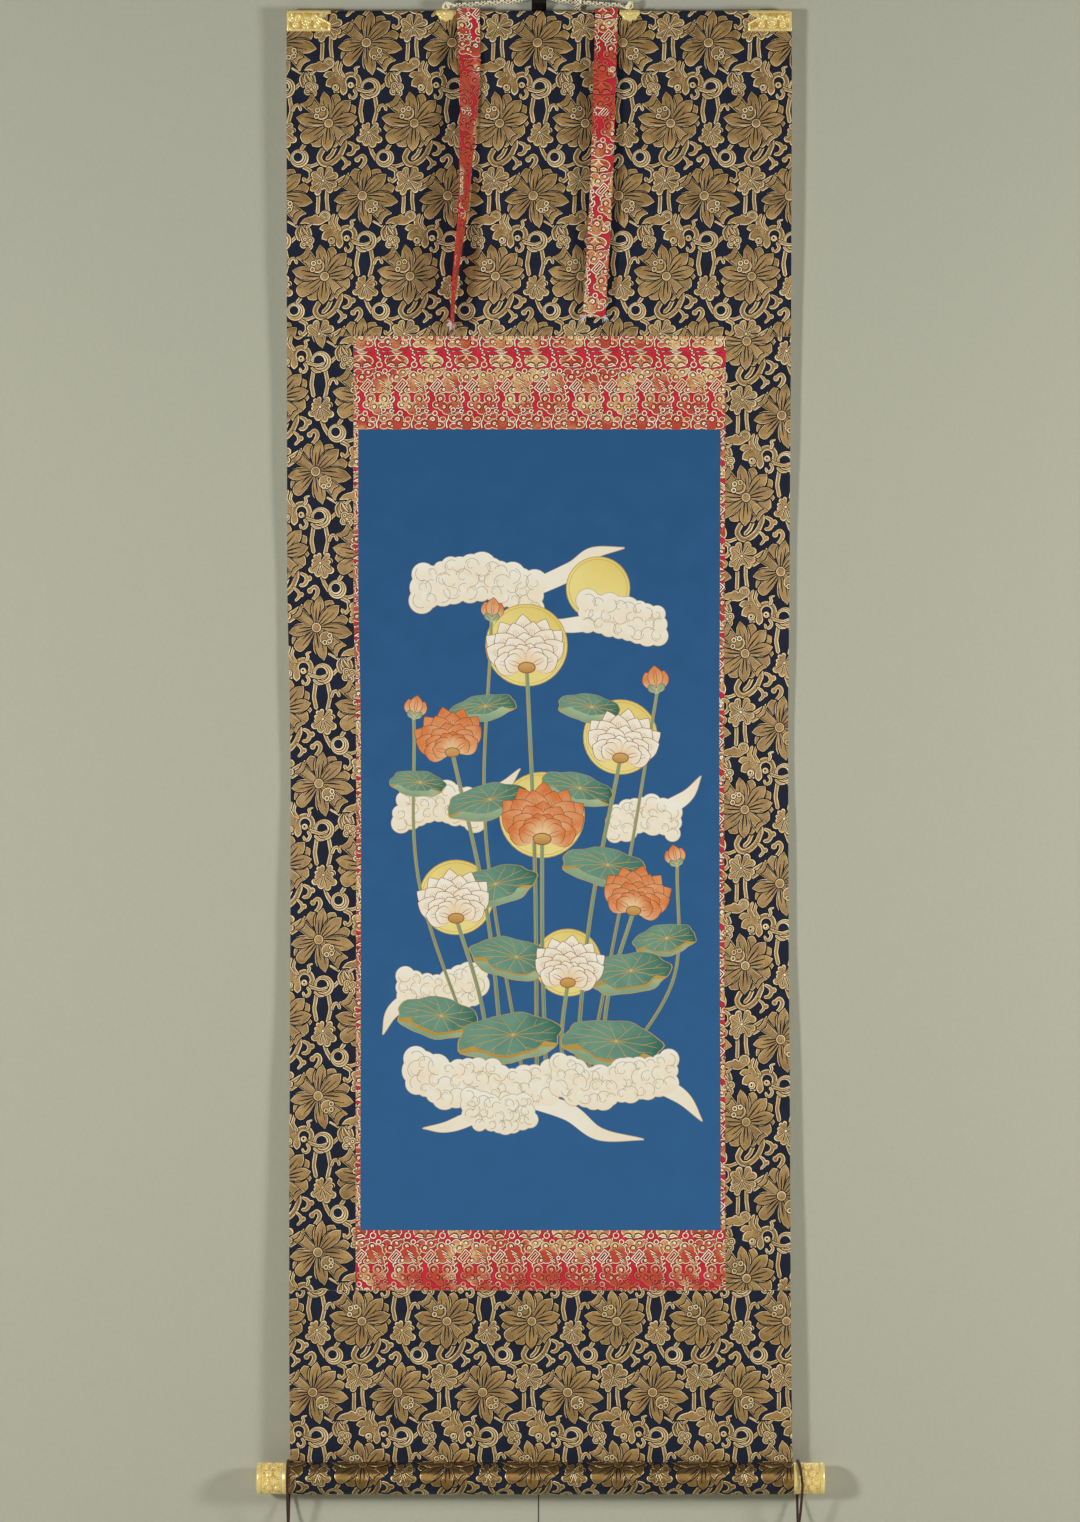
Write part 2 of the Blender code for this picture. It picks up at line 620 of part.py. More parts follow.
# Wrapping cord: looped over the hanging cord, its tail hangs between the scroll and the wall.
WRAP_X = 42.3 * MM
before = [point for point in hanging_route if point.x <= WRAP_X][-1]
after = hanging_route[hanging_route.index(before) + 1]
wrap_centre = before.lerp(after, (WRAP_X - before.x) / (after.x - before.x))
wrap_y, wrap_z = wrap_centre.y, wrap_centre.z


def wrapping_loop():
    bm = bmesh.new()
    sides, length = 20, BRAID_WIDTH
    rings = []
    for grow in (0.0, BRAID_THICK * 0.9):
        for end in (-length / 2, length / 2):
            loop = []
            for i in range(sides):
                angle = 2 * math.pi * i / sides
                across = (BRAID_WIDTH / 2 + 1.0 * MM + grow) * math.cos(angle)
                along = (BRAID_THICK / 2 + 1.3 * MM + grow) * math.sin(angle)
                y = across * math.cos(BRAID_TILT) + along * math.sin(BRAID_TILT)
                z = along * math.cos(BRAID_TILT) - across * math.sin(BRAID_TILT)
                loop.append(bm.verts.new((WRAP_X + end, wrap_y + y, wrap_z + z)))
            rings.append(loop)
    inner_a, inner_b, outer_a, outer_b = rings
    for first, second in ((inner_a, inner_b), (inner_b, outer_b), (outer_b, outer_a), (outer_a, inner_a)):
        for i in range(sides):
            j = (i + 1) % sides
            bm.faces.new((first[i], first[j], second[j], second[i]))
    add_object("wrapping_loop", bm, BRAID)


wrapping_loop()

WRAPPING_CORD = (
    (WRAP_X, -5.2 * MM, wrap_z - 4.2 * MM),
    (WRAP_X, -3.6 * MM, wrap_z - 9 * MM),
    (WRAP_X, -3.0 * MM, TOP_EDGE - 6 * MM),
    (WRAP_X, -2.9 * MM, TOP_EDGE - 30 * MM),
    (WRAP_X + 1 * MM, -3.4 * MM, TOP_EDGE - 120 * MM),
    (WRAP_X + 4 * MM, -4.4 * MM, TOP_EDGE - 320 * MM),
    (WRAP_X + 5 * MM, -4.8 * MM, TOP_EDGE - 560 * MM),
    (WRAP_X + 2 * MM, -4.6 * MM, TOP_EDGE - 820 * MM),
    (WRAP_X - 1 * MM, -4.2 * MM, TOP_EDGE - 1040 * MM),
    (WRAP_X, -4.0 * MM, TOP_EDGE - 1180 * MM),
)
cord(
    "wrapping_cord", smooth_route(WRAPPING_CORD, 24 * MM), BRAID_THICK / 2, BRAID,
    (BRAID_WIDTH - BRAID_THICK) / 2, lambda point: math.pi / 2,
)


# Ribbons and the thread tufts at their lower corners.
def ribbon(name, table):
    """One folded strip of brocade, sewn to the top edge. Gives its lower corners and its outward side."""
    bm = bmesh.new()
    previous = None
    last = table[-1][0]
    rings = []
    for drop in spread(table[0][0], last, 9):
        x, clear, turn = (eased(table, column, drop) for column in (1, 2, 3))
        face = hang(x * MM, max(drop, 0) * MM)
        centre = Vector((x * MM, face.y - CLOTH / 2 - clear * MM, TOP_EDGE - drop * MM))
        angle = math.radians(turn)
        across = Vector((math.cos(angle), math.sin(angle), 0))
        out = Vector((math.sin(angle), -math.cos(angle), 0))
        half, thick = RIBBON_WIDTH / 2, RIBBON_THICK / 2
        ring_points = [
            centre - across * half - out * thick * 0.3, centre - across * half + out * thick * 0.3,
            centre - across * (half - 0.5 * MM) + out * thick, centre + out * thick * 1.1,
            centre + across * (half - 0.5 * MM) + out * thick, centre + across * half + out * thick * 0.3,
            centre + across * half - out * thick * 0.3, centre + across * (half - 0.5 * MM) - out * thick,
            centre - out * thick * 1.0, centre - across * (half - 0.5 * MM) - out * thick,
        ]
        current = [bm.verts.new(point) for point in ring_points]
        if previous:
            for i in range(len(current)):
                j = (i + 1) % len(current)
                bm.faces.new((previous[i], previous[j], current[j], current[i]))
        previous = current
        rings.append((current, centre, across, out))
    bm.faces.new(rings[0][0])
    bm.faces.new(rings[-1][0])
    add_object(name, bm, RED_BROCADE)
    return rings[-1][1:]


TUFT_LENGTH = 13 * MM
TUFT_HEAD = 2 * MM


def tuft(name, head, lean, spread_angle):
    """A few cut threads sewn through the ribbon's corner, as one head whose nine ends stand apart."""
    bm = bmesh.new()
    bmesh.ops.create_cube(bm, size=1)
    bmesh.ops.scale(bm, verts=bm.verts, vec=(TUFT_HEAD, TUFT_HEAD, TUFT_HEAD))
    foot = [face for face in bm.faces if face.normal.z < -0.5]
    edges = {edge for face in foot for edge in face.edges}
    bmesh.ops.subdivide_edges(bm, edges=list(edges), cuts=2, use_grid_fill=True)
    bm.normal_update()
    threads = [face for face in bm.faces if face.normal.z < -0.5]
    centres = {face: face.calc_center_median() for face in threads}
    ends = list(threads)
    bmesh.ops.inset_individual(bm, faces=ends, thickness=0.12 * MM)
    for step in range(3):
        made = bmesh.ops.extrude_discrete_faces(bm, faces=ends)["faces"]
        for face, origin in zip(made, [centres[old] for old in threads]):
            sideways = Vector((origin.x, origin.y, 0)) * (spread_angle / MM)
            move = Vector((sideways.x, sideways.y, -1)).normalized() * (TUFT_LENGTH / 3)
            bmesh.ops.translate(bm, verts=face.verts, vec=move)
            if step == 2:
                bmesh.ops.scale(
                    bm, verts=face.verts, vec=(0.6, 0.6, 0.6),
                    space=Matrix.Translation(-face.calc_center_median()),
                )
        ends = made
    turn = Vector((0, 0, -1)).rotation_difference(Vector(lean).normalized()).to_matrix()
    bmesh.ops.rotate(bm, verts=bm.verts, cent=(0, 0, 0), matrix=turn)
    bmesh.ops.translate(bm, verts=bm.verts, vec=head)
    add_object(name, bm, WHITE_THREAD, smooth=False)


tuft_leans = {
    "left": ((-0.5, -0.3, -0.8), (-0.15, -0.3, -1)),
    "right": ((-0.75, -0.2, -0.62), (0.45, -0.2, -0.75)),
}
for side, table in (("left", LEFT_RIBBON), ("right", RIGHT_RIBBON)):
    centre, across, out = ribbon(side + "_ribbon", table)
    for corner, sign, lean in zip(("outer", "inner"), (-1, 1), tuft_leans[side]):
        head = centre + across * sign * (RIBBON_WIDTH / 2 - 2 * MM) - Vector((0, 0, TUFT_HEAD + 0.1 * MM))
        tuft(f"{side}_tuft_{corner}", head, lean, 0.42)


# Scroll weights.
def weight_route(x_top, x_front, x_low, radius):
    """The cord's way: up from the weight, over the roller from behind to the front, and down again."""
    low_z = TOP_EDGE - WEIGHT_DROP
    points = []
    side_gap = WEIGHT_CORD / 2 + 0.2 * MM
    ends = (low_z + GAP, low_z + 5 * MM)
    points.extend(Vector((x_low, ROLLER_Y + side_gap, z)) for z in ends)
    reach = ROLLER_Z - low_z
    contact = math.acos(radius / reach)
    points.append(Vector((
        (x_low + x_top) / 2, ROLLER_Y + radius * math.sin(contact) * 0.55,
        ROLLER_Z - radius - (reach - radius) * 0.42,
    )))
    steps = 12
    for i in range(steps + 1):
        angle = -(math.pi - contact) + 2 * (math.pi - contact) * i / steps
        share = i / steps
        x = x_low + (x_top - x_low) * min(2 * share, 1) + (x_front - x_top) * max(2 * share - 1, 0)
        points.append(Vector((x, ROLLER_Y - radius * math.sin(angle), ROLLER_Z + radius * math.cos(angle))))
    points.append(Vector((
        (x_low + x_front) / 2, ROLLER_Y - radius * math.sin(contact) * 0.55,
        ROLLER_Z - radius - (reach - radius) * 0.42,
    )))
    points.extend(Vector((x_low, ROLLER_Y - side_gap, z)) for z in reversed(ends))
    return points


def scroll_weight(side, x_top, x_front, x_low, radius):
    route = weight_route(x_top, x_front, x_low, radius)
    cord(side + "_weight_cord", smooth_route(route, 6 * MM), WEIGHT_CORD / 2, WEIGHT_SILK)
    collar = 4.2 * MM
    neck = 4 * MM
    ball = [(0, 0), (0, collar), (neck, collar)]
    first = math.asin(collar / WEIGHT_RADIUS)
    centre = neck + WEIGHT_RADIUS * math.cos(first)
    for i in range(1, 12):
        angle = first + (math.pi - first) * i / 12
        ball.append((centre - WEIGHT_RADIUS * math.cos(angle), WEIGHT_RADIUS * math.sin(angle)))
    ball.append((centre + WEIGHT_RADIUS, 0))
    turned(side + "_weight", ball, (x_low, ROLLER_Y, TOP_EDGE - WEIGHT_DROP), (0, 0, -1), WEIGHT_CERAMIC, 20)


weight_reach = SLEEVE_RADIUS + GAP + WEIGHT_CORD / 2
scroll_weight("left", LEFT_WEIGHT_X, LEFT_WEIGHT_X, LEFT_WEIGHT_X, weight_reach)
scroll_weight("right", RIGHT_WEIGHT_X, RIGHT_WEIGHT_X + 3.5 * MM, RIGHT_WEIGHT_X, weight_reach)
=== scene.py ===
"""The looks of a Japanese hanging scroll in lotus brocade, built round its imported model, in metres."""
import math
import random

import bmesh
import bpy
import numpy as np
from mathutils import Matrix, Vector, noise
from mathutils.geometry import delaunay_2d_cdt


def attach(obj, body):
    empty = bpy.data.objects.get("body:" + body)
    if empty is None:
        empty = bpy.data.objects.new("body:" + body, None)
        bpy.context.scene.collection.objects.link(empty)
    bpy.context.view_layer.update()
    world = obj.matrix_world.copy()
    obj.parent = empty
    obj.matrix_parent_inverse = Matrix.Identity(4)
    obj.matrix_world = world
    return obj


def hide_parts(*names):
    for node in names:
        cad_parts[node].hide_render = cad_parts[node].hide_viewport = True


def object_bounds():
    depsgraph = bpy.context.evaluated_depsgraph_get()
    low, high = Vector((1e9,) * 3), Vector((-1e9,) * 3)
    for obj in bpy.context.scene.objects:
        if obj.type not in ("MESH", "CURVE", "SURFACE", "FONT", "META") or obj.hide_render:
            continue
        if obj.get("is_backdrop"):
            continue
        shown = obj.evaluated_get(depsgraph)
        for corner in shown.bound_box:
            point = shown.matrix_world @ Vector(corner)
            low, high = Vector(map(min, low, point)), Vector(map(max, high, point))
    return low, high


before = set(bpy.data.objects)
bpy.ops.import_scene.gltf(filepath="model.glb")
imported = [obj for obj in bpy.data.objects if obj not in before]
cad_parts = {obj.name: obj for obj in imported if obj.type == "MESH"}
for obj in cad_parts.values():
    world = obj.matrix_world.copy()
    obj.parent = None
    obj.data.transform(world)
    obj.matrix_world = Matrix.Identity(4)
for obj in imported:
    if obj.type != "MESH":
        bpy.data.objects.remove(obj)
model_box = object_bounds()
MM = 0.001


# The room: a plain wall in grey-green paint, which the hook is fixed to, and a pale floor below the
# scroll. The wall is seen from the front only, so that the scroll's back can be looked at too.
def linear(code):
    """An sRGB hex colour as linear red, green, blue and alpha."""
    parts = [int(code[i:i + 2], 16) / 255 for i in (0, 2, 4)]
    return (*[c / 12.92 if c <= 0.04045 else ((c + 0.055) / 1.055) ** 2.4 for c in parts], 1.0)


def add_node(material, kind, inputs=None, **settings):
    """A shader node with its settings. inputs holds a value or an output to link, by the socket's name
    or number."""
    node = material.node_tree.nodes.new(kind)
    for name, value in settings.items():
        setattr(node, name, value)
    for socket, value in (inputs or {}).items():
        if isinstance(value, bpy.types.NodeSocket):
            material.node_tree.links.new(value, node.inputs[socket])
        else:
            node.inputs[socket].default_value = value
    return node


def new_material(name, **principled):
    """A material and its Principled BSDF, with values by input name."""
    material = bpy.data.materials.new(name)
    material.use_nodes = True
    shader = material.node_tree.nodes["Principled BSDF"]
    for name, value in principled.items():
        shader.inputs[name.replace("_", " ")].default_value = value
    return material, shader


def link(material, output, shader, socket):
    material.node_tree.links.new(output, shader.inputs[socket])


def blended(material, factor, first, second, mode="MIX"):
    """The colour output of a mix of two colours, each a hex code or another node's output."""
    colours = [linear(c) if isinstance(c, str) else c for c in (first, second)]
    node = add_node(material, "ShaderNodeMix", {0: factor, 6: colours[0], 7: colours[1]},
                    data_type="RGBA", blend_type=mode)
    return node.outputs[2]


def spread(material, value, low, high, at_low=0.0, at_high=1.0):
    """A value moved from the range low to high into the range at_low to at_high, and held inside it."""
    return add_node(material, "ShaderNodeMapRange", {
        "Value": value, "From Min": low, "From Max": high, "To Min": at_low, "To Max": at_high}).outputs[0]


def combined(material, operation, first, second):
    return add_node(material, "ShaderNodeMath", {0: first, 1: second}, operation=operation).outputs[0]


def noise_of(material, vector, per_metre, detail=3.0, low=0.35, high=0.65):
    """Noise at a scale per metre, spread so that low becomes 0 and high becomes 1."""
    grain = add_node(material, "ShaderNodeTexNoise",
                     {"Vector": vector, "Scale": per_metre, "Detail": detail, "Roughness": 0.55})
    return spread(material, grain.outputs["Fac"], low, high)


def object_place(material):
    return add_node(material, "ShaderNodeTexCoord").outputs["Object"]


def raise_by(material, shader, height, strength, depth):
    """Bumps a surface by a height, as deep as a depth in millimetres."""
    raised = add_node(material, "ShaderNodeBump",
                      {"Height": height, "Strength": strength, "Distance": depth * MM})
    link(material, raised.outputs[0], shader, "Normal")


def to_object(name, bm, materials, smooth_angle=None):
    """A bmesh as an object at the origin, shaded smooth up to an angle where one is given."""
    mesh = bpy.data.meshes.new(name)
    bm.to_mesh(mesh)
    bm.free()
    for material in materials:
        mesh.materials.append(material)
    if smooth_angle is not None:
        mesh.shade_smooth()
        mesh.set_sharp_from_angle(angle=math.radians(smooth_angle))
    piece = bpy.data.objects.new(name, mesh)
    bpy.context.scene.collection.objects.link(piece)
    return piece


JOINT_X, JOINT_HALF_WIDTH = -0.5 * MM, 0.8 * MM


def wall_paint():
    """Matt emulsion, rolled on two boards: a faint mottle, no gloss, and the dark joint between them."""
    paint, shader = new_material("rolled_wall_paint", Roughness=0.9, Specular_IOR_Level=0.2)
    place = object_place(paint)
    across = add_node(paint, "ShaderNodeSeparateXYZ", {0: place}).outputs["X"]
    joint = add_node(paint, "ShaderNodeMath", {0: across, 1: JOINT_X, 2: JOINT_HALF_WIDTH},
                     operation="COMPARE")
    mottle = blended(paint, noise_of(paint, place, 260), "b3b3a1", "b6b6a4")
    link(paint, blended(paint, joint.outputs[0], mottle, "4c4e40"), shader, "Base Color")
    see_through = add_node(paint, "ShaderNodeBsdfTransparent")
    facing = add_node(paint, "ShaderNodeNewGeometry").outputs["Backfacing"]
    both = add_node(paint, "ShaderNodeMixShader",
                    {0: facing, 1: shader.outputs[0], 2: see_through.outputs[0]})
    link(paint, both.outputs[0], paint.node_tree.nodes["Material Output"], "Surface")
    return paint


def plain_floor():
    floor, shader = new_material("pale_floor", Roughness=0.8)
    place = object_place(floor)
    link(floor, blended(floor, noise_of(floor, place, 40), "cfcdc4", "d6d4cb"), shader, "Base Color")
    return floor


FLOOR_Z = model_box[0].z - 0.28
WALL_BEHIND = 0.6 * MM
ROOM_SIZE = 9.0
for name, turn, place, material in (
    ("wall", math.pi / 2, (0, WALL_BEHIND, -0.85), wall_paint()),
    ("floor", 0, (0, -4.0, FLOOR_Z), plain_floor()),
):
    bm = bmesh.new()
    bmesh.ops.create_grid(bm, x_segments=1, y_segments=1, size=ROOM_SIZE / 2)
    bmesh.ops.rotate(bm, verts=bm.verts, cent=(0, 0, 0), matrix=Matrix.Rotation(turn, 3, "X"))
    bmesh.ops.translate(bm, verts=bm.verts, vec=place)
    piece = to_object(name, bm, [material])
    # The wall stands in no light's way, so that the back lamp reaches the back of the scroll.
    piece.visible_shadow = name != "wall"
    piece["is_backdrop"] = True

# Camera: straight in front of the scroll, a little over its middle.
CAMERA_AWAY = 4.0
VIEW_X, VIEW_Z, VIEW_HEIGHT = 0.0011, -0.8495, 1.6524
CLOTH_DEPTH = 0.017
camera_data = bpy.data.cameras.new("camera")
camera_data.sensor_width = 36.0
camera_data.lens = camera_data.sensor_width * (CAMERA_AWAY - CLOTH_DEPTH) / VIEW_HEIGHT
camera = bpy.data.objects.new("camera", camera_data)
camera.location = (VIEW_X, -CAMERA_AWAY, VIEW_Z)
camera.rotation_euler = (math.pi / 2, 0, 0)
bpy.context.scene.collection.objects.link(camera)
bpy.context.scene.camera = camera
bpy.context.scene.view_settings.view_transform = "Standard"


# Light: one soft lamp on each side, as for flat work, one behind for the back of the scroll, and the
# room's own pale light.
def lamp(name, place, target, size, power):
    data = bpy.data.lights.new(name, "AREA")
    data.shape = "DISK"
    data.size = size
    data.energy = power
    light = bpy.data.objects.new(name, data)
    light.location = place
    light.rotation_euler = (Vector(target) - Vector(place)).to_track_quat("-Z", "Y").to_euler()
    bpy.context.scene.collection.objects.link(light)


SCROLL_MIDDLE = (0, 0, -0.85)
lamp("left_lamp", (-2.1, -2.25, -0.70), SCROLL_MIDDLE, 0.45, 50)
lamp("right_lamp", (2.35, -1.55, -0.70), SCROLL_MIDDLE, 0.6, 44)
lamp("back_lamp", (0.6, 3.2, 0.6), SCROLL_MIDDLE, 1.6, 26)
world = bpy.data.worlds.new("room_light")
world.use_nodes = True
world.node_tree.nodes["Background"].inputs["Color"].default_value = linear("eceef0")
world.node_tree.nodes["Background"].inputs["Strength"].default_value = 0.12
bpy.context.scene.world = world


# Hanging cord: a flat silk braid of eight strands, five cream, two black and one gold, tied through both
# rings and laid over the hook. The wrapping cord is the same braid: a loop round the hanging cord, and
# a long tail that hangs down behind the scroll and is wound round it when it is rolled up.
def between(a, b, c, d, t):
    """A place on the smooth curve from b, where t is 0, to c, where it is 1, with a before and d after."""
    return 0.5 * (2 * b + (c - a) * t + (2 * a - 5 * b + 4 * c - d) * t**2 + (3 * b - a - 3 * c + d) * t**3)


def smooth_route(points, step):
    """Even points on a smooth curve through a route's own points."""
    places = [Vector(point) for point in points]
    places = [2 * places[0] - places[1], *places, 2 * places[-1] - places[-2]]
    fine = []
    for a, b, c, d in zip(places, places[1:], places[2:], places[3:]):
        fine += [between(a, b, c, d, i / 24) for i in range(24)]
    fine.append(places[-2])
    lengths = np.concatenate(([0.0], np.cumsum([(q - p).length for p, q in zip(fine, fine[1:])])))
    goals = np.linspace(0, lengths[-1], max(2, round(lengths[-1] / step)) + 1)
    table = np.array(fine)
    return [Vector([np.interp(goal, lengths, table[:, axis]) for axis in range(3)]) for goal in goals]


def route_length(route):
    return sum((b - a).length for a, b in zip(route, route[1:]))


def strands_object(name, lines, radius, materials, picks, sides=2):
    """Round strands along lines of points, as one mesh. picks holds each strand's material number."""
    curve = bpy.data.curves.new(name, "CURVE")
    curve.dimensions = "3D"
    curve.bevel_depth = radius
    curve.bevel_resolution = sides
    curve.use_fill_caps = True
    for material in materials:
        curve.materials.append(material)
    for line, pick in zip(lines, picks):
        spline = curve.splines.new("POLY")
        spline.points.add(len(line) - 1)
        for point, place in zip(spline.points, line):
            point.co = (*place, 1)
        spline.material_index = pick
    drawn = bpy.data.objects.new(name + "_strands", curve)
    bpy.context.scene.collection.objects.link(drawn)
    mesh = bpy.data.meshes.new_from_object(drawn.evaluated_get(bpy.context.evaluated_depsgraph_get()))
    mesh.name = name
    mesh.shade_smooth()
    bpy.data.objects.remove(drawn)
    bpy.data.curves.remove(curve)
    piece = bpy.data.objects.new(name, mesh)
    bpy.context.scene.collection.objects.link(piece)
    return piece


def dress(piece, node):
    """Puts a piece on the body and lets it stand for a solid."""
    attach(piece, "root")
    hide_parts(node)


def twisted_silk(name, light, dark):
    """Reeled silk, twisted: soft gloss, and fine raised plies 0.7 mm apart with a painted highlight on each."""
    silk, shader = new_material(name, Roughness=0.55, Specular_IOR_Level=0.4, Sheen_Weight=0.35,
                                Sheen_Roughness=0.4)
    place = object_place(silk)
    plies = noise_of(silk, place, 1400, detail=2.0)
    # Painted highlight and shade: each ply is painted lighter where it stands high and darker between plies.
    link(silk, blended(silk, plies, dark, light), shader, "Base Color")
    raise_by(silk, shader, plies, 0.35, 0.2)
    return silk


BRAID_WIDTH = 8.5 * MM
BRAID_THICK = 1.8 * MM
BRAID_PITCH = 13.6 * MM
braid_silks = [twisted_silk("cream_braid_silk", "fffbe6", "ece0b4"),
               twisted_silk("black_braid_silk", "141110", "060505"),
               twisted_silk("gold_braid_silk", "c9a45a", "9a7434")]
BRAID_COLOURS = (1, 0, 2, 0, 1, 0, 0, 0)
# How many of a braid's threads would fill its width side by side, as a share of all of them.
THREADS_ACROSS = 0.62
# A strand's radius, and how far it rises and sinks where it crosses others, as shares.
STRAND_RADIUS, CROSSING_THREAD, CROSSING_RISE = 0.42, 0.55, 0.32


def braid(name, route, across_at, pitch=BRAID_PITCH, points=34):
    """A flat braid along a route: strands that cross from edge to edge, over and under each other.

    points is how many points a strand has in one pitch, in which it goes from edge to edge and back."""
    count = len(BRAID_COLOURS)
    thread = BRAID_WIDTH / (count * THREADS_ACROSS)
    half = (BRAID_WIDTH - thread) / 2
    rise = (BRAID_THICK - thread * CROSSING_THREAD) * CROSSING_RISE
    lines = []
    steps = round(route_length(route) / pitch * points)
    fine = smooth_route(route, route_length(route) / steps)
    for strand in range(count):
        line = []
        for i, place in enumerate(fine):
            ahead = fine[min(i + 1, len(fine) - 1)] - fine[max(i - 1, 0)]
            across = across_at(place).normalized()
            out = ahead.cross(across).normalized()
            phase = (i / points + strand / count) % 1
            side = 4 * abs(phase - 0.5) - 1
            lift = math.sin(2 * math.pi * (count / 2) * i / points + math.pi * strand)
            lift *= min(1.0, 3 * (1 - abs(side)) + 0.15)
            lift = lift if phase < 0.5 else -lift
            line.append(place + across * half * side + out * rise * lift)
        lines.append(line)
    return strands_object(name, lines, thread * STRAND_RADIUS, braid_silks, BRAID_COLOURS, sides=1)


HANGING_ROUTE = (
    (-0.0912, -0.0129, -0.0281), (-0.0770, -0.0123, -0.0272), (-0.0520, -0.0112, -0.0250),
    (-0.0240, -0.0089, -0.0230), (-0.0090, -0.0080, -0.0209), (0, -0.0080, -0.0208),
    (0.0090, -0.0080, -0.0209), (0.0240, -0.0089, -0.0230), (0.0520, -0.0112, -0.0251),
    (0.0745, -0.0123, -0.0272), (0.0887, -0.0129, -0.0281),
)
WRAPPING_ROUTE = (
    (0.0423, -0.0052, -0.0286), (0.0423, -0.0036, -0.0334), (0.0423, -0.0030, -0.0405),
    (0.0423, -0.0029, -0.0645), (0.0433, -0.0034, -0.1545), (0.0463, -0.0044, -0.3545),
    (0.0473, -0.0048, -0.5945), (0.0443, -0.0046, -0.8545), (0.0413, -0.0042, -1.0745),
    (0.0423, -0.0040, -1.2145),
)
BRAID_TILT = math.radians(22)


def flat_then_tilted(place):
    """Across the braid: it lies flat in the hook's groove and shows more of its face further out."""
    out = min(max((abs(place.x) - 10 * MM) / (26 * MM), 0), 1)
    tilt = BRAID_TILT * out * out * (3 - 2 * out)
    return Vector((0, math.cos(tilt), -math.sin(tilt)))


hanging_route = smooth_route(HANGING_ROUTE, 4 * MM)
hanging_cord = braid("hanging_cord_braid", hanging_route, flat_then_tilted)
RING_CENTRES = {"left": Vector((-0.1010, -0.0129, -0.0285)), "right": Vector((0.0985, -0.0129, -0.0285))}
# The turns at each ring, in millimetres from its centre: inward along the cord, back, and up.
KNOT_TURNS = {
    "left": (
        ((10.4, 0.2, 0.7), (3.0, -0.4, 3.0), (0.2, -1.2, 3.9), (-1.6, -1.6, 1.6), (-3.4, -1.5, -2.0),
         (-2.9, 0.8, -3.2)),
        ((10.6, -0.4, 0.2), (3.8, -1.2, 1.4), (0.6, -1.9, 3.4), (1.4, -2.0, 0.4), (3.2, -1.8, -2.6),
         (2.6, 0.9, -3.4)),
        ((10.8, 0.5, -0.2), (4.6, 0.6, -1.0), (2.6, 1.4, -0.2), (0.8, 1.6, 2.2), (2.4, 1.2, 3.0),
         (6.2, 0.8, 1.2)),
    ),
    "right": (
        ((10.6, -0.4, 0.7), (4.8, -1.8, -2.9), (2.6, -1.9, 0.2), (0.2, -1.6, 3.4), (-1.6, -0.6, 3.9),
         (0.2, 1.4, 1.4)),
        ((10.8, 0.5, -0.1), (2.8, -1.8, -3.4), (0.8, -1.9, -0.6), (-1.6, -1.5, 2.9), (-3.0, 0.2, 3.6),
         (-0.6, 1.5, 0.6)),
        ((10.9, 0.3, 0.3), (5.0, 1.2, 1.4), (2.6, 1.2, 2.0), (2.0, -1.2, 2.6), (4.0, -1.6, 0.2),
         (6.6, -0.9, 1.4)),
    ),
}
KNOT_STRAND_RADIUS = 0.62 * MM
for side, inward in (("left", 1), ("right", -1)):
    turns = []
    for path in KNOT_TURNS[side]:
        places = [RING_CENTRES[side] + Vector((inward * x, y, z)) * MM for x, y, z in path]
        for shift in (-0.55, 0.55):
            aside = Vector((shift * inward * 0.8, 0, shift * 0.5)) * MM
            turns.append(smooth_route([place + aside for place in places], 0.7 * MM))
    knot = strands_object(side + "_tied_end", turns, KNOT_STRAND_RADIUS, braid_silks, (0, 0, 0, 0, 0, 1))
    dress(knot, side + "_knot")

LOOP_CENTRE = Vector((0.0423, -0.01044, -0.02438))
loop_route = []
for i in range(25):
    angle = 2 * math.pi * i / 24
    across = (BRAID_WIDTH / 2 + 1.8 * MM) * math.cos(angle)
    along = (BRAID_THICK / 2 + 2.1 * MM) * math.sin(angle)
    loop_route.append(LOOP_CENTRE + Vector((0, across * math.cos(BRAID_TILT) + along * math.sin(BRAID_TILT),
                                            along * math.cos(BRAID_TILT) - across * math.sin(BRAID_TILT))))
wrapping_loop = braid("wrapping_loop_braid", loop_route, lambda place: Vector((1, 0, 0)), pitch=14 * MM)
wrapping_route = smooth_route(WRAPPING_ROUTE, 8 * MM)
wrapping_cord = braid("wrapping_cord_braid", wrapping_route, lambda place: Vector((1, 0, 0)), points=18)
for piece, node in ((hanging_cord, "hanging_cord"), (wrapping_loop, "wrapping_loop"),
                    (wrapping_cord, "wrapping_cord")):
    dress(piece, node)

# Weight cords: a dark red silk cord of three plies over each end of the roller, and a glazed pottery
# ball on its two ends, which holds the scroll still and straight.
weight_silk = twisted_silk("dark_red_twisted_silk", "4a1a12", "230a06")
LEFT_WEIGHT_X, RIGHT_WEIGHT_X = -0.2719, 0.2810
WEIGHT_YZ = (
    (-0.0195, -1.6862), (-0.0195, -1.6815), (-0.0114, -1.6632), (-0.0032, -1.6335), (-0.0022, -1.6275),
    (-0.0031, -1.6216), (-0.0058, -1.6162), (-0.0100, -1.6119), (-0.0154, -1.6091), (-0.0213, -1.6082),
    (-0.0272, -1.6091), (-0.0326, -1.6119), (-0.0368, -1.6162), (-0.0395, -1.6216), (-0.0404, -1.6275),
    (-0.0394, -1.6335), (-0.0312, -1.6632), (-0.0231, -1.6815), (-0.0231, -1.6862),
)
LEFT_WEIGHT_ROUTE = [(LEFT_WEIGHT_X, y, z) for y, z in WEIGHT_YZ]
RIGHT_WEIGHT_OVER = [0.0006, 0.0012, 0.0018, 0.0023, 0.0029, 0.0035, 0.0018, 0.0, 0.0]
RIGHT_WEIGHT_ROUTE = [(RIGHT_WEIGHT_X + over, y, z)
                      for over, (y, z) in zip([0.0] * 10 + RIGHT_WEIGHT_OVER, WEIGHT_YZ)]
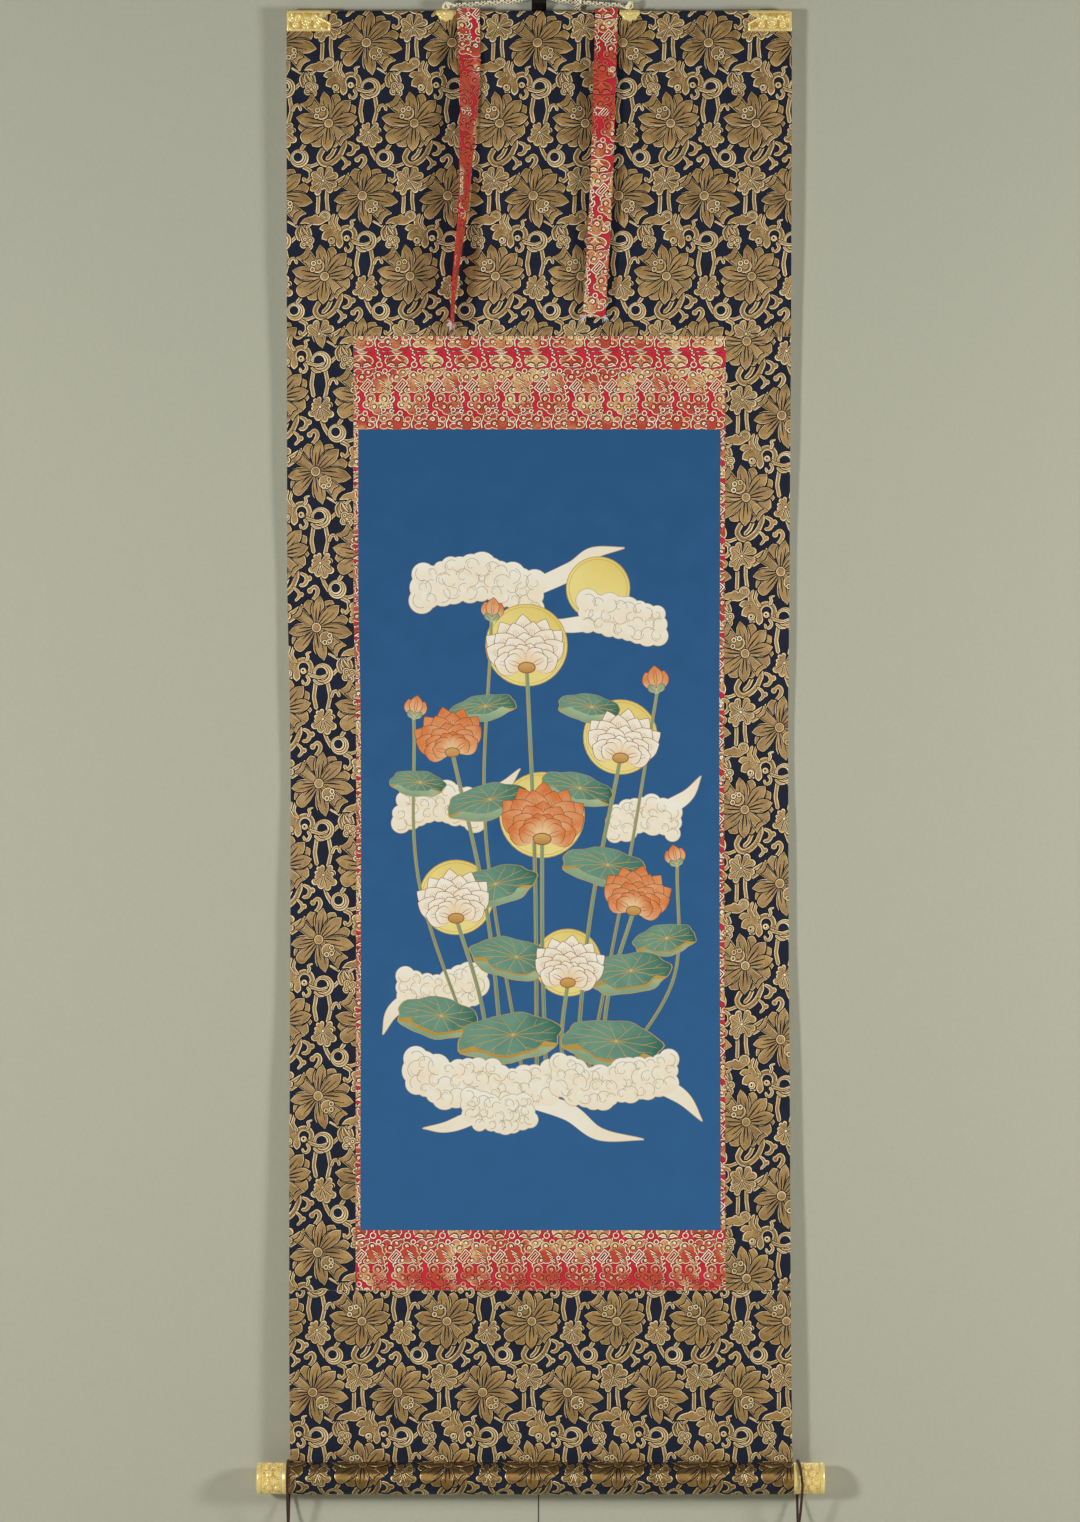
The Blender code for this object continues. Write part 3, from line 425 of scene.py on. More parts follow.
PLIES, PLY_TURN, PLY_REACH, PLY_RADIUS = 3, 8.5 * MM, 0.72 * MM, 0.86 * MM
PLY_STEP = 0.9 * MM
for side, way in (("left", LEFT_WEIGHT_ROUTE), ("right", RIGHT_WEIGHT_ROUTE)):
    route = smooth_route(way, PLY_STEP)
    plies = []
    for ply in range(PLIES):
        line = []
        for i, place in enumerate(route):
            ahead = (route[min(i + 1, len(route) - 1)] - route[max(i - 1, 0)]).normalized()
            out = ahead.cross(Vector((1, 0, 0))).normalized()
            turn = 2 * math.pi * (i * PLY_STEP / PLY_TURN + ply / PLIES)
            line.append(place + (Vector((1, 0, 0)) * math.cos(turn) + out * math.sin(turn)) * PLY_REACH)
        plies.append(line)
    cord = strands_object(side + "_weight_cord_plies", plies, PLY_RADIUS, [weight_silk], (0,) * PLIES)
    dress(cord, side + "_weight_cord")


def glazed_pottery():
    """Stoneware under an ash glaze: glossy, with a fine crackle about 6 mm wide and iron specks."""
    glaze, shader = new_material("ash_glazed_stoneware", Roughness=0.18, Coat_Weight=0.6, Coat_Roughness=0.08)
    place = object_place(glaze)
    crackle = add_node(glaze, "ShaderNodeTexVoronoi", {"Vector": place, "Scale": 1 / (6 * MM)},
                       feature="DISTANCE_TO_EDGE").outputs["Distance"]
    line = spread(glaze, crackle, 0.0, 0.03)
    body = blended(glaze, noise_of(glaze, place, 60), "b9b39a", "cfcab4")
    body = blended(glaze, noise_of(glaze, place, 900, low=0.66, high=0.72), body, "6e5335")
    link(glaze, blended(glaze, line, "8f8468", body), shader, "Base Color")
    return glaze


def refinish(node, material):
    """Gives a solid of the model its own material."""
    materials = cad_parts[node].data.materials
    materials.clear()
    materials.append(material)


pottery = glazed_pottery()
for node in ("left_weight", "right_weight"):
    refinish(node, pottery)


# Navy brocade: silk in a deep navy twill, with a lotus scroll in strips of gold-leafed paper that are
# bound in by a pale thread at each edge. It is the upper cloth, the lower cloth and the side pillars.
# Measures in this section and in those below are in millimetres.
CLOTH = 1.2
GAP = 0.3
CLOTH_WIDTH = 546
TOP_EDGE = -34.5
UPPER_CLOTH_DROP, UPPER_BAND_DROP = 353.6, 455.1
ART_DROP, LOWER_BAND_DROP = 1324.2, 1389.5
ART_WIDTH = 392
STRIP_WIDTH = 5
INNER_SHIFT = 0.8
INNER_LEFT = INNER_SHIFT - ART_WIDTH / 2 - STRIP_WIDTH - GAP
INNER_RIGHT = INNER_SHIFT + ART_WIDTH / 2 + STRIP_WIDTH + GAP


def curve_through(points, step=1.6):
    """Points about a step apart on a smooth plane curve through a few points."""
    table = np.array(points, float)
    if len(table) < 3:
        count = max(1, round(float(np.linalg.norm(table[1] - table[0])) / (3 * step)))
        return np.linspace(table[0], table[1], count + 1)
    ends = np.concatenate(([2 * table[0] - table[1]], table, [2 * table[-1] - table[-2]]))
    made = []
    for a, b, c, d in zip(ends, ends[1:], ends[2:], ends[3:]):
        count = max(2, round(float(np.linalg.norm(c - b)) / step))
        made.append(between(a, b, c, d, np.linspace(0, 1, count, endpoint=False)[:, None]))
    return np.concatenate((*made, [table[-1]]))


THINNEST = 0.12


def stroke(points, width, grow=0.0, ends=(1.0, 1.0), step=1.6):
    """The outline of a line of a width, grown to each side. ends are its shares of that width there, and
    where they differ the line swells between them."""
    line = curve_through(points, step)
    along = np.gradient(line, axis=0)
    along /= np.linalg.norm(along, axis=1)[:, None] + 1e-9
    across = np.stack((-along[:, 1], along[:, 0]), axis=1)
    t = np.linspace(0, 1, len(line))
    share = ends[0] + (ends[1] - ends[0]) * t
    if ends[0] != ends[1]:
        share += 0.5 * np.sin(np.pi * t) * (1 - min(ends))
    half = np.maximum(width / 2 * share + grow, THINNEST)[:, None]
    tip = line[-1] + along[-1] * half[-1]
    tail = line[0] - along[0] * half[0]
    return np.concatenate((line - across * half, [tip], (line + across * half)[::-1], [tail]))


def disc(centre, radius, sides=18):
    angles = np.arange(sides) * 2 * np.pi / sides
    return np.stack((centre[0] + radius * np.cos(angles), centre[1] + radius * np.sin(angles)), axis=1)


def discs(centre, sides, **radii):
    """Discs on one centre from the back to the front, by their kinds."""
    return [(kind, disc(centre, radius, sides)) for kind, radius in radii.items()]


# Half outlines of petals, from the base to the tip: (share of the reach, share of the half width).
PETALS = {
    "pointed": ((0, 0.22), (0.2, 0.42), (0.42, 0.84), (0.62, 1), (0.8, 0.80), (0.92, 0.40), (1, 0)),
    "square": ((0.5, 0.5), (0.68, 0.8), (0.8, 1.0), (0.86, 1.0), (0.94, 0.6), (1, 0)),
    "folded": ((0, 0.2), (0.3, 0.5), (0.6, 0.84), (0.86, 0.94), (1.02, 1.04), (0.97, 0.5), (0.95, 0)),
    "lobe": ((0, 0.12), (0.3, 0.42), (0.62, 0.9), (0.84, 1.0), (0.98, 0.72), (0.97, 0.3), (0.84, 0)),
    "round": ((0, 0.2), (0.3, 0.5), (0.6, 0.95), (0.85, 0.95), (0.97, 0.6), (1, 0)),
}


def petal(centre, angle, reach, width, kind, grow=0.0):
    half = np.array([((reach + 1.4 * grow) * along, (width / 2 + grow) * side)
                     for along, side in PETALS[kind]])
    edge = curve_through(half, 1.7)
    whole = np.concatenate((edge * (1, -1), edge[::-1][1:]))
    turn = math.radians(angle)
    return np.stack((centre[0] + whole[:, 0] * math.cos(turn) - whole[:, 1] * math.sin(turn),
                     centre[1] + whole[:, 0] * math.sin(turn) + whole[:, 1] * math.cos(turn)), axis=1)


# Each shape of gold is bound: a dark edge, the pale binding thread, and the gold inside.
BINDING = (("dark", 0.95), ("pale", 0.0), ("gold", -0.8))
PETAL_BINDING = (("dark", 1.15), ("pale", 0.0), ("gold", -0.35))


def bound(shape, *sizes, binding=BINDING, **settings):
    return [(kind, shape(*sizes, grow=grow, **settings)) for kind, grow in binding]


def bound_disc(centre, radius, binding=BINDING, sides=18, share=1.0):
    """A bound disc. share is how much of the binding's own growth it takes."""
    return [(kind, disc(centre, radius + share * grow, sides)) for kind, grow in binding]


def as_one(shapes):
    """Shapes whose edges run into one outline."""
    return [shape for kind, _ in BINDING for shape in shapes if shape[0] == kind]


def on_axis(centre, angle, points):
    """Points given as (along, side) from a centre at an angle."""
    turn = math.radians(angle)
    return [(centre[0] + a * math.cos(turn) - s * math.sin(turn),
             centre[1] + a * math.sin(turn) + s * math.cos(turn)) for a, s in points]


def lotus(centre, heart, turned_over, petals, pod, pod_rings):
    """A lotus from above: square tips behind, then pointed and folded petals, a seed pod and a heart.
    Each pointed petal has one side turned over, to the left of it where turned_over is 1."""
    shapes = []
    for angle, reach, width, kind in petals:
        if kind == "square":
            shapes += bound(petal, centre, angle, reach, width * 1.5, kind, binding=PETAL_BINDING)
    for angle, reach, width, kind in petals:
        if kind == "square":
            continue
        side = turned_over if -60 < angle < 120 else -turned_over
        if kind != "folded":
            shapes += bound(petal, centre, angle + 15 * side, reach * 0.8, 6.4, "pointed",
                            binding=PETAL_BINDING)
        shapes += bound(petal, centre, angle, reach, width, kind, binding=PETAL_BINDING)
        if kind == "folded":
            shapes += bound(petal, centre, angle, reach * 0.78, width * 0.66, kind, binding=PETAL_BINDING)
        else:
            for lean, end in ((0.2, 0.6), (-0.16, 0.74)):
                path = on_axis(centre, angle, [(0.14 * reach, lean * 0.4 * width * side),
                                               (0.4 * reach, lean * width * side),
                                               (end * reach, lean * width * side)])
                shapes.append(("dark", stroke(path, 1.2, ends=(1.0, 0.5))))
    middle = (centre[0] + pod[0], centre[1] + pod[1])
    shapes += discs(middle, 18, dark=8.2, pale=7.4, gold=6.6)
    shapes.append(("dark", stroke(arc_points(middle, 4.6, 200, 420, 12), 0.9)))
    for ring in pod_rings:
        place = (centre[0] + ring[0], centre[1] + ring[1])
        shapes += discs(place, 14, dark=3.5, pale=2.8)
        shapes += discs(place, 10, dark=1.6) + discs(place, 8, gold=0.8)
    return shapes + bound_disc(centre, heart)


def blossom(centre, lobes):
    """A small blossom of notched lobes of different sizes, with dark stamens in the larger ones."""
    shapes = []
    for angle, reach, width in lobes:
        shapes += bound(petal, centre, angle, reach, width, "lobe")
        for lean in (-0.22, 0.16) if width > 11 else ():
            path = on_axis(centre, angle, [(0.2 * reach, lean * width * 0.35),
                                           (0.5 * reach, lean * width * 0.8),
                                           (0.74 * reach, lean * width * 1.3)])
            shapes += [("pale", stroke(path, 2.0)), ("dark", stroke(path, 1.1))]
    return shapes + discs(centre, 10, dark=2.0, pale=1.4)


def scroll_ring(centre, outer, hole_centre, hole):
    """A tendril's full turn: a broad bound band, a dark line, a thin pale turn, and the ground inside it."""
    steps = (("dark", outer + 0.85), ("pale", outer), ("gold", outer - 0.85), ("pale", hole + 3.1),
             ("dark", hole + 2.3), ("pale", hole + 1.5), ("dark", hole + 0.3), ("ground", hole - 0.4))
    shapes = []
    for kind, radius in steps:
        share = min(max((outer - radius) / (outer - hole), 0), 1)
        middle = np.array(centre) * (1 - share) + np.array(hole_centre) * share
        shapes.append((kind, disc(middle, radius, 24)))
    return shapes


def arc_points(centre, radius, start, end, count=9, closing=0.0):
    """Points on an arc, in degrees, which draws in by a share of its radius towards its end."""
    made = []
    for i in range(count):
        turn = math.radians(start + (end - start) * i / (count - 1))
        reach = radius * (1 - closing * i / (count - 1))
        made.append((centre[0] + reach * math.cos(turn), centre[1] + reach * math.sin(turn)))
    return made


def lotus_scroll():
    """One repeat of the pattern, as (kind, outline) from the back to the front."""
    shapes = []
    # Plain stems and bars.
    for path, width in (
        (((-9.6, -73), (-8.9, -85.3), (-9.4, -97.1)), 4.0), (((0.2, -73), (0.05, -84), (1.7, -95.5)), 4.0),
        (((36.1, 28.3), (34.0, 13.4), (36.2, 1.9)), 4.2), (((49.3, 28.3), (51.6, 14.0), (48.6, 0)), 4.0),
        (((53.2, 13.8), (55.4, 18.6), (59.4, 19.4), (61.6, 14.8)), 3.4),
        (((6.5, -65.9), (25.7, -54.4)), 3.8), (((8.4, -72.0), (17.4, -66.0)), 3.8),
        (((45.3, -24.7), (47.6, -31.4), (52.6, -39.5)), 4.2),
        (((68.4, -46.6), (76, -46.2), (84.1, -42.9)), 3.4),
        (((-25.8, -47.6), (-19.0, -51.4), (-18.2, -59.0), (-22.8, -63.4), (-25.4, -60.2)), 4.0),
        (((-41.1, 59.6), (-31.3, 54.0)), 2.2), (((-38.2, 36.8), (-32.0, 43.0)), 3.4),
    ):
        shapes += bound(stroke, path, width)
    # Broad tendrils under the lotuses, each with a dark line along it.
    for path, width in (
        (((-5.5, -28.7), (-9.2, -36.8), (-5.8, -43.4), (0.8, -44.6), (8.0, -40.6), (13.8, -33.7),
          (17.4, -25.2), (17.2, -18.6)), 5.6),
        (((7.6, -26.6), (4.2, -33.9), (-0.5, -38.6)), 4.2),
        (arc_points((23.2, -121.4), 8.3, 222, -28, 15), 5.4),
    ):
        shapes += bound(stroke, path, width)
        shapes.append(("dark", stroke(path, 0.8, ends=(0.5, 0.5))))
    sprout = ((26.6, -113.6), (28.4, -109.6), (27.0, -106.6), (31.4, -104.6))
    shapes += bound(stroke, sprout, 3.2, ends=(1.0, 0.5))
    shapes += scroll_ring((61.8, -38.0), 9.9, (60.0, -36.6), 4.6)
    shapes += bound(stroke, ((63.5, -28.0), (65.6, -25.2), (67.8, -21.8)), 4.6, ends=(0.8, 0.7))
    shapes += scroll_ring((44.2, -127.9), 11.0, (42.0, -127.0), 5.6)
    under_turn = ((26.6, -127.6), (33.6, -130.6), (41.0, -131.8), (47.6, -129.6))
    shapes += bound(stroke, under_turn, 3.4, ends=(1.0, 0.7))
    shapes += bound(stroke, ((34.2, -134.8), (38.6, -138.4), (44.0, -138.8)), 3.0, ends=(0.9, 0.5))
    hook = ((26.4, -130.4), (28.8, -134.4), (26.4, -138.6), (22.8, -138.6), (21.6, -135.4))
    shapes += bound(stroke, hook, 3.8, ends=(0.8, 0.7))
    # Crescents with a bump on the outside, and a thick hook with a round end.
    for path, width, bump, radius in (
        (((22.0, -20.8), (27.2, -23.6), (28.6, -28.7), (25.6, -33.0), (21.6, -33.6)), 5.8,
         (31.4, -26.2), 2.9),
        (((14.6, -36.4), (19.0, -40.3), (20.2, -45.2), (16.4, -49.6)), 4.6, (22.6, -43.4), 2.6),
        (((33.4, -50.6), (38.6, -45.0), (40.4, -39.2), (37.4, -35.2), (33.4, -37.4)), 5.8,
         (32.0, -39.4), 3.0),
    ):
        shapes += as_one(bound(stroke, path, width, ends=(0.5, 0.6)) + bound_disc(bump, radius))
    # The spray under each pair of stems: a cloud-headed leaf, four leaves, and a leaf with a curl.
    shapes += bound(stroke, ((12.9, -99.4), (10.9, -108.2), (15.4, -115.4)), 3.6, ends=(0.8, 0.9))
    shapes += bound(stroke, ((8.2, -99.4), (5.2, -107.4), (9.4, -115.4)), 5.6, ends=(0.5, 0.9))
    for root, angle, reach, width in (((7.6, -111.6), 192, 15.0, 7.4), ((12.6, -115.0), 212, 20.0, 11.0),
                                      ((12.8, -118.4), 246, 17.5, 9.6), ((15.6, -121.0), 268, 15.0, 8.0),
                                      ((18.6, -123.4), -18, 9.0, 7.2)):
        shapes += bound(petal, root, angle, reach, width, "pointed")
    shapes += bound_disc((6.5, -127.3), 3.8) + bound_disc((22.8, -124.8), 3.2)
    for place in ((6.0, -126.8), (22.4, -124.4)):
        shapes += discs(place, 12, pale=2.2) + discs(place, 10, dark=1.3)
    tail = ((-28.0, -109.0), (-22.2, -106.0), (-14.0, -105.4), (-7.4, -105.6), (-2.6, -103.0))
    shapes += as_one(bound(stroke, tail, 9.4, ends=(0.05, 0.9)) + bound_disc((-1.4, -100.8), 6.0)
                     + bound_disc((-11.6, -102.6), 3.6))
    curl_line = arc_points((-1.6, -100.9), 3.9, -30, 270, 12, 0.35)
    shapes += [("pale", stroke(curl_line, 1.7)), ("dark", stroke(curl_line, 0.85))]
    # The bud: four small lobes with a ring in each, under three striped sepals.
    for path, width in ((((-24.6, 55.6), (-19.6, 52.2), (-16.6, 45.2)), 5.0),
                        (((-27.6, 55.4), (-30.6, 48.4), (-28.6, 40.4)), 5.4),
                        (((-26.4, 54.8), (-25.0, 48.4), (-20.2, 42.6)), 6.4)):
        shapes += bound(stroke, path, width, ends=(0.2, 0.8))
        shapes.append(("dark", stroke(path, 0.8, ends=(1.0, 0.6))))
    shapes += bound(stroke, ((-20.4, 53.4), (-15.6, 56.8)), 3.8, ends=(0.9, 0.3))
    lobes = ((-22.4, 40.4), (-16.4, 39.2), (-23.4, 34.6), (-17.8, 32.8))
    shapes += as_one([shape for place in lobes for shape in bound_disc(place, 4.2)])
    for place in lobes:
        shapes += discs(place, 12, dark=2.5, pale=1.9) + discs(place, 8, dark=0.9)
    shapes += blossom((-4.4, -62.3), ((-82, 10, 8), (178, 12.5, 11), (126, 14.5, 15), (42, 16.5, 16),
                                      (-36, 15.5, 14), (-128, 17.0, 13)))
    shapes += blossom((43.3, -9.9), ((178, 9.5, 8), (112, 10.5, 9), (28, 13.5, 12), (-8, 11.5, 9),
                                     (-122, 14.5, 15), (-52, 17.0, 15.5)))
    shapes += lotus((0, 0), 4.7, -1, (
        (75.6, 33, 7, "square"), (32, 34, 8, "square"), (0, 31.5, 6, "square"), (-73, 27.5, 6.5, "square"),
        (-123, 30, 9, "square"), (-171, 33.5, 7, "square"), (-21, 29.5, 9.5, "square"),
        (100, 35, 12, "pointed"), (48, 34, 14, "pointed"), (13, 31.5, 13, "pointed"),
        (-46, 26.6, 14, "folded"), (-92, 30.5, 12.5, "pointed"), (-147, 34.5, 14.5, "round"),
        (170, 36, 14, "pointed"),
        (134, 36, 15.5, "folded")), (-7.9, 11.2), ((-6.3, 15.8), (-12.4, 14.2), (-13.4, 7.6)))
    shapes += lotus((38.4, -78.7), 5.0, 1, (
        (58, 34, 8, "square"), (15, 36, 7.5, "square"), (-148, 32, 7.5, "square"), (107, 31, 8, "square"),
        (82, 34, 11.5, "pointed"), (43, 34.5, 13.5, "pointed"), (-10, 39.5, 15, "pointed"),
        (-43, 36, 15.5, "folded"), (-78, 36, 12, "pointed"), (-134, 33, 12.5, "round"),
        (-170, 31, 11.5, "pointed"), (141, 27.6, 13.5, "folded")),
        (10.5, -11.6), ((14.4, -8.4), (14.2, -14.4), (8.8, -15.8)))
    return shapes


def cut_along(half, outlines, extra=()):
    """Cuts a rectangle, given by its half size, along outlines. Gives the points, the triangles and, for
    each triangle, the number of the last outline that it lies in, or -1. extra holds loose points."""
    points = list(np.array(((-1, -1), (1, -1), (1, 1), (-1, 1))) * half)
    edges = [(0, 1), (1, 2), (2, 3), (3, 0)]
    for outline in outlines:
        start, count = len(points), len(outline)
        edges.extend((start + k, start + (k + 1) % count) for k in range(count))
        points.extend(outline)
    points.extend(extra)
    verts, _, cells, *_ = delaunay_2d_cdt([Vector(map(float, p)) for p in points], edges, [], 0, 1e-3)
    verts, cells = np.array(verts), np.array(cells)
    middles = verts[cells].mean(axis=1)
    cells = cells[(np.abs(middles) < half).all(axis=1)]
    middles = verts[cells].mean(axis=1)
    order = np.argsort(middles[:, 1])
    heights = middles[order, 1]
    top = np.full(len(cells), -1)
    for number, outline in enumerate(outlines):
        low, high = outline.min(axis=0), outline.max(axis=0)
        near = order[np.searchsorted(heights, low[1]):np.searchsorted(heights, high[1])]
        near = near[(middles[near, 0] > low[0]) & (middles[near, 0] < high[0])]
        x, y = middles[near].T[:, :, None]
        (x0, y0), (x1, y1) = outline.T[:, None, :], np.roll(outline, -1, axis=0).T[:, None, :]
        side = (x1 - x0) * (y - y0) - (x - x0) * (y1 - y0)
        upward = (y0 <= y) & (y1 > y) & (side > 0)
        downward = (y0 > y) & (y1 <= y) & (side < 0)
        top[near[upward.sum(axis=1) != downward.sum(axis=1)]] = number
    return verts, cells, top


NEARLY_STRAIGHT = math.radians(9)


def relief(half, shapes, kinds, lifts):
    """A flat mesh of shapes, as (kind, outline) from the back to the front, on a ground of the first kind.
    A corner stands as high as the lowest of the kinds that meet in it. What is gone is cut away."""
    verts, cells, top = cut_along(half, [outline for _, outline in shapes])
    bm = bmesh.new()
    made = [bm.verts.new((x, y, 0)) for x, y in verts]
    for cell, number in zip(cells, top):
        kind = shapes[number][0] if number >= 0 else kinds[0]
        if kind != "gone":
            bm.faces.new([made[k] for k in cell]).material_index = kinds.index(kind)
    bmesh.ops.delete(bm, geom=[v for v in bm.verts if not v.link_faces], context="VERTS")
    bmesh.ops.dissolve_limit(bm, angle_limit=NEARLY_STRAIGHT, verts=bm.verts, edges=bm.edges,
                             delimit={"MATERIAL"})
    bmesh.ops.triangulate(bm, faces=bm.faces, ngon_method="BEAUTY")
    for vert in bm.verts:
        vert.co.z = min(lifts[face.material_index] for face in vert.link_faces)
    return bm


def woven_repeat(size, shapes, kinds, lifts):
    """One repeat of a pattern as a flat mesh round the origin, whose edges fit its neighbours."""
    half = np.array(size) / 2
    copies = []
    for kind, outline in shapes:
        for i in (-1, 0, 1):
            for j in (-1, 0, 1):
                copy = outline + (i * size[0], j * size[1])
                if (copy.min(axis=0) < half).all() and (copy.max(axis=0) > -half).all():
                    copies.append((kind, copy))
    bm = relief(half, copies, kinds, lifts)
    mesh = bpy.data.meshes.new("repeat")
    bm.to_mesh(mesh)
    bm.free()
    return mesh


NAVY_KINDS = ("ground", "dark", "pale", "gold", "paper")
NAVY_CELL = (92.4, 166.2)
navy_repeat = woven_repeat(NAVY_CELL, lotus_scroll(), NAVY_KINDS, (0, 0, 0.28, 0.28))


def cut_all(bm, faces, planes):
    """Cuts some faces, and what comes of them, by one plane after another."""
    geom = [*faces, *{edge for face in faces for edge in face.edges},
            *{vert for face in faces for vert in face.verts}]
    for co, no in planes:
        geom = bmesh.ops.bisect_plane(bm, geom=geom, dist=1e-4, plane_co=co, plane_no=no)["geom"]


BEND_ROOM, BACK_STEP = 6, 25


def closed_slab(bm, back, bends, borders, thick=CLOTH):
    """Gives a flat face its edges and its back, and cuts it where it has to bend."""
    top, bottom, left, right = borders
    sides = bmesh.ops.extrude_edge_only(bm, edges=[edge for edge in bm.edges if edge.is_boundary])["geom"]
    for item in sides:
        if isinstance(item, bmesh.types.BMVert):
            item.co.z = -thick / 2
        elif isinstance(item, bmesh.types.BMFace):
            item.material_index = back
    bmesh.ops.holes_fill(bm, edges=[edge for edge in bm.edges if edge.is_boundary], sides=0)
    bmesh.ops.recalc_face_normals(bm, faces=bm.faces)
    for face in bm.faces:
        if all(v.co.z < 0 for v in face.verts):
            face.material_index = back
    near = [face for face in bm.faces if len(bends) and any(
        min(bends) - BEND_ROOM < -vert.co.y < max(bends) + BEND_ROOM for vert in face.verts)]
    cut_all(bm, near, [((0, -drop, 0), (0, 1, 0)) for drop in bends])
    cut_all(bm, [face for face in bm.faces if all(v.co.z < 0 for v in face.verts)],
            [((0, -drop, 0), (0, 1, 0)) for drop in np.arange(top + BACK_STEP, bottom - 5, BACK_STEP)]
            + [((x, 0, 0), (1, 0, 0)) for x in np.arange(left + BACK_STEP, right - 5, BACK_STEP)])
    return bm


SHEAR_ROOM = 8


def woven_piece(repeat, cell, phase, borders, kinds, bends=(), shear=0.0, stretch=1.0, back="paper"):
    """A cut of woven cloth as a flat closed slab, x to the right and y up from the top edge.

    borders are its left, right, top drop and bottom drop, and bends the drops where it has to turn."""
    left, right, top, bottom = borders
    width, height = cell
    height *= stretch
    bm = bmesh.new()
    columns = [math.floor((x - phase[0]) / width + 0.5) for x in (left - SHEAR_ROOM, right + SHEAR_ROOM)]
    rows = [math.floor((drop - phase[1]) / height + 0.5) for drop in (top, bottom)]
    for i in range(columns[0], columns[1] + 1):
        for j in range(rows[0], rows[1] + 1):
            start = len(bm.verts)
            bm.from_mesh(repeat)
            bm.verts.ensure_lookup_table()
            moved = bm.verts[start:]
            bmesh.ops.scale(bm, verts=moved, vec=(1, stretch, 1))
            bmesh.ops.translate(bm, verts=moved, vec=(phase[0] + i * width, -phase[1] - j * height, 0))
    bmesh.ops.remove_doubles(bm, verts=bm.verts, dist=0.02)
    if shear:
        for vert in bm.verts:
            vert.co.x += shear * (vert.co.y + phase[1])
    for co, no in (((left, 0, 0), (-1, 0, 0)), ((right, 0, 0), (1, 0, 0)),
                   ((0, -top, 0), (0, 1, 0)), ((0, -bottom, 0), (0, -1, 0))):
        bmesh.ops.bisect_plane(bm, geom=[*bm.verts, *bm.edges, *bm.faces], dist=1e-4, plane_co=co,
                               plane_no=no, clear_outer=True)
    for vert in bm.verts:
        vert.co.z += CLOTH / 2
    return closed_slab(bm, kinds.index(back), bends, (top, bottom, left, right))


# How the cloth hangs: its left and right edge and its distance from the wall, at heights down the scroll.
HANG = (
    # drop, left edge, right edge, depth
    (0, -274.1, 274.7, 15.4), (300, -274.1, 274.1, 16.0), (500, -274.0, 273.1, 16.6),
    (640, -273.7, 272.4, 17.0), (740, -271.2, 271.3, 17.3), (860, -270.2, 271.2, 17.5),
    (1010, -270.4, 271.6, 17.7), (1180, -270.9, 272.6, 17.9), (1380, -271.2, 273.2, 18.1),
    (1520, -270.6, 274.4, 18.3), (1600, -269.6, 275.3, 18.4),
)
EDGE_CURL = 11.0
WAVE, WAVE_SPREAD, FREE_DROP = 0.7, 36, 1580
STAVE_FRONT, STAVE_DEPTH, STAVE_HEIGHT, STAVE_CORNER = -14.5, 8, 21, 1
STAVE_TOP = TOP_EDGE - CLOTH - GAP
FRONT_FOOT = TOP_EDGE - STAVE_TOP + STAVE_CORNER
ROLLER_RADIUS = 15.7
SLEEVE_RADIUS = ROLLER_RADIUS + GAP + CLOTH
CREASE_DROP = 1575.6
CREASE = CREASE_DROP - 2
ROLLER_Y = -21.3
ROLLER_Z = TOP_EDGE - CREASE_DROP - SLEEVE_RADIUS
HEM_FLAP = 9
FLAP_CLEAR = CLOTH + 0.4


def eased(table, column, at):
    """A column of a table at values of its first column, on a smooth curve through the rows."""
    rows = np.array(table, float)
    key, value = rows[:, 0], rows[:, column]
    below = np.clip(np.searchsorted(key, at, side="right") - 1, 0, len(rows) - 2)
    above = below + 1
    before, after = np.maximum(below - 1, 0), np.minimum(below + 2, len(rows) - 1)
    span = key[above] - key[below]
    share = np.clip((at - key[below]) / span, 0, 1)
    slope_start = (value[above] - value[before]) / (key[above] - key[before]) * span
    slope_end = (value[after] - value[below]) / (key[after] - key[below]) * span
    square, cube = share**2, share**3
    return ((2 * cube - 3 * square + 1) * value[below] + (cube - 2 * square + share) * slope_start
            + (3 * square - 2 * cube) * value[above] + (cube - square) * slope_end)


def hang(x, drop):
    """Where points of the cut cloth hang, as rows of (x, y, z)."""
    left, right = eased(HANG, 1, drop), eased(HANG, 2, drop)
    share = x / CLOTH_WIDTH + 0.5
    fall = np.sin(np.pi * np.clip(drop / FREE_DROP, 0, 1)) ** 2
    depth = eased(HANG, 3, drop) - EDGE_CURL * fall * np.abs(2 * share - 1) ** 4
    depth += WAVE * fall * np.sin(drop / WAVE_SPREAD + 1.3 * share)
    return np.stack((left + share * (right - left), -depth, TOP_EDGE - drop), axis=1)


def stave_outline(offset, steps=24):
    """The stave's section from the front's foot, up, over and down its half-round back, as (y, z)."""
    corner = STAVE_CORNER + offset
    centre_y, centre_z = STAVE_FRONT + STAVE_CORNER, STAVE_TOP - STAVE_CORNER
    turns = np.linspace(np.pi, np.pi / 2, steps // 2)
    front = np.stack((centre_y + corner * np.cos(turns), centre_z + corner * np.sin(turns)), axis=1)
    half, depth = STAVE_HEIGHT / 2, STAVE_DEPTH - STAVE_CORNER
    turns = np.linspace(np.pi / 2, -np.pi / 2, steps + 1)[1:]
    out = np.stack((np.cos(turns) / depth, np.sin(turns) / half), axis=1)
    out /= np.linalg.norm(out, axis=1)[:, None]
    back = np.stack((centre_y + depth * np.cos(turns), STAVE_TOP - half + half * np.sin(turns)), axis=1)
    return np.concatenate((front, back + offset * out))


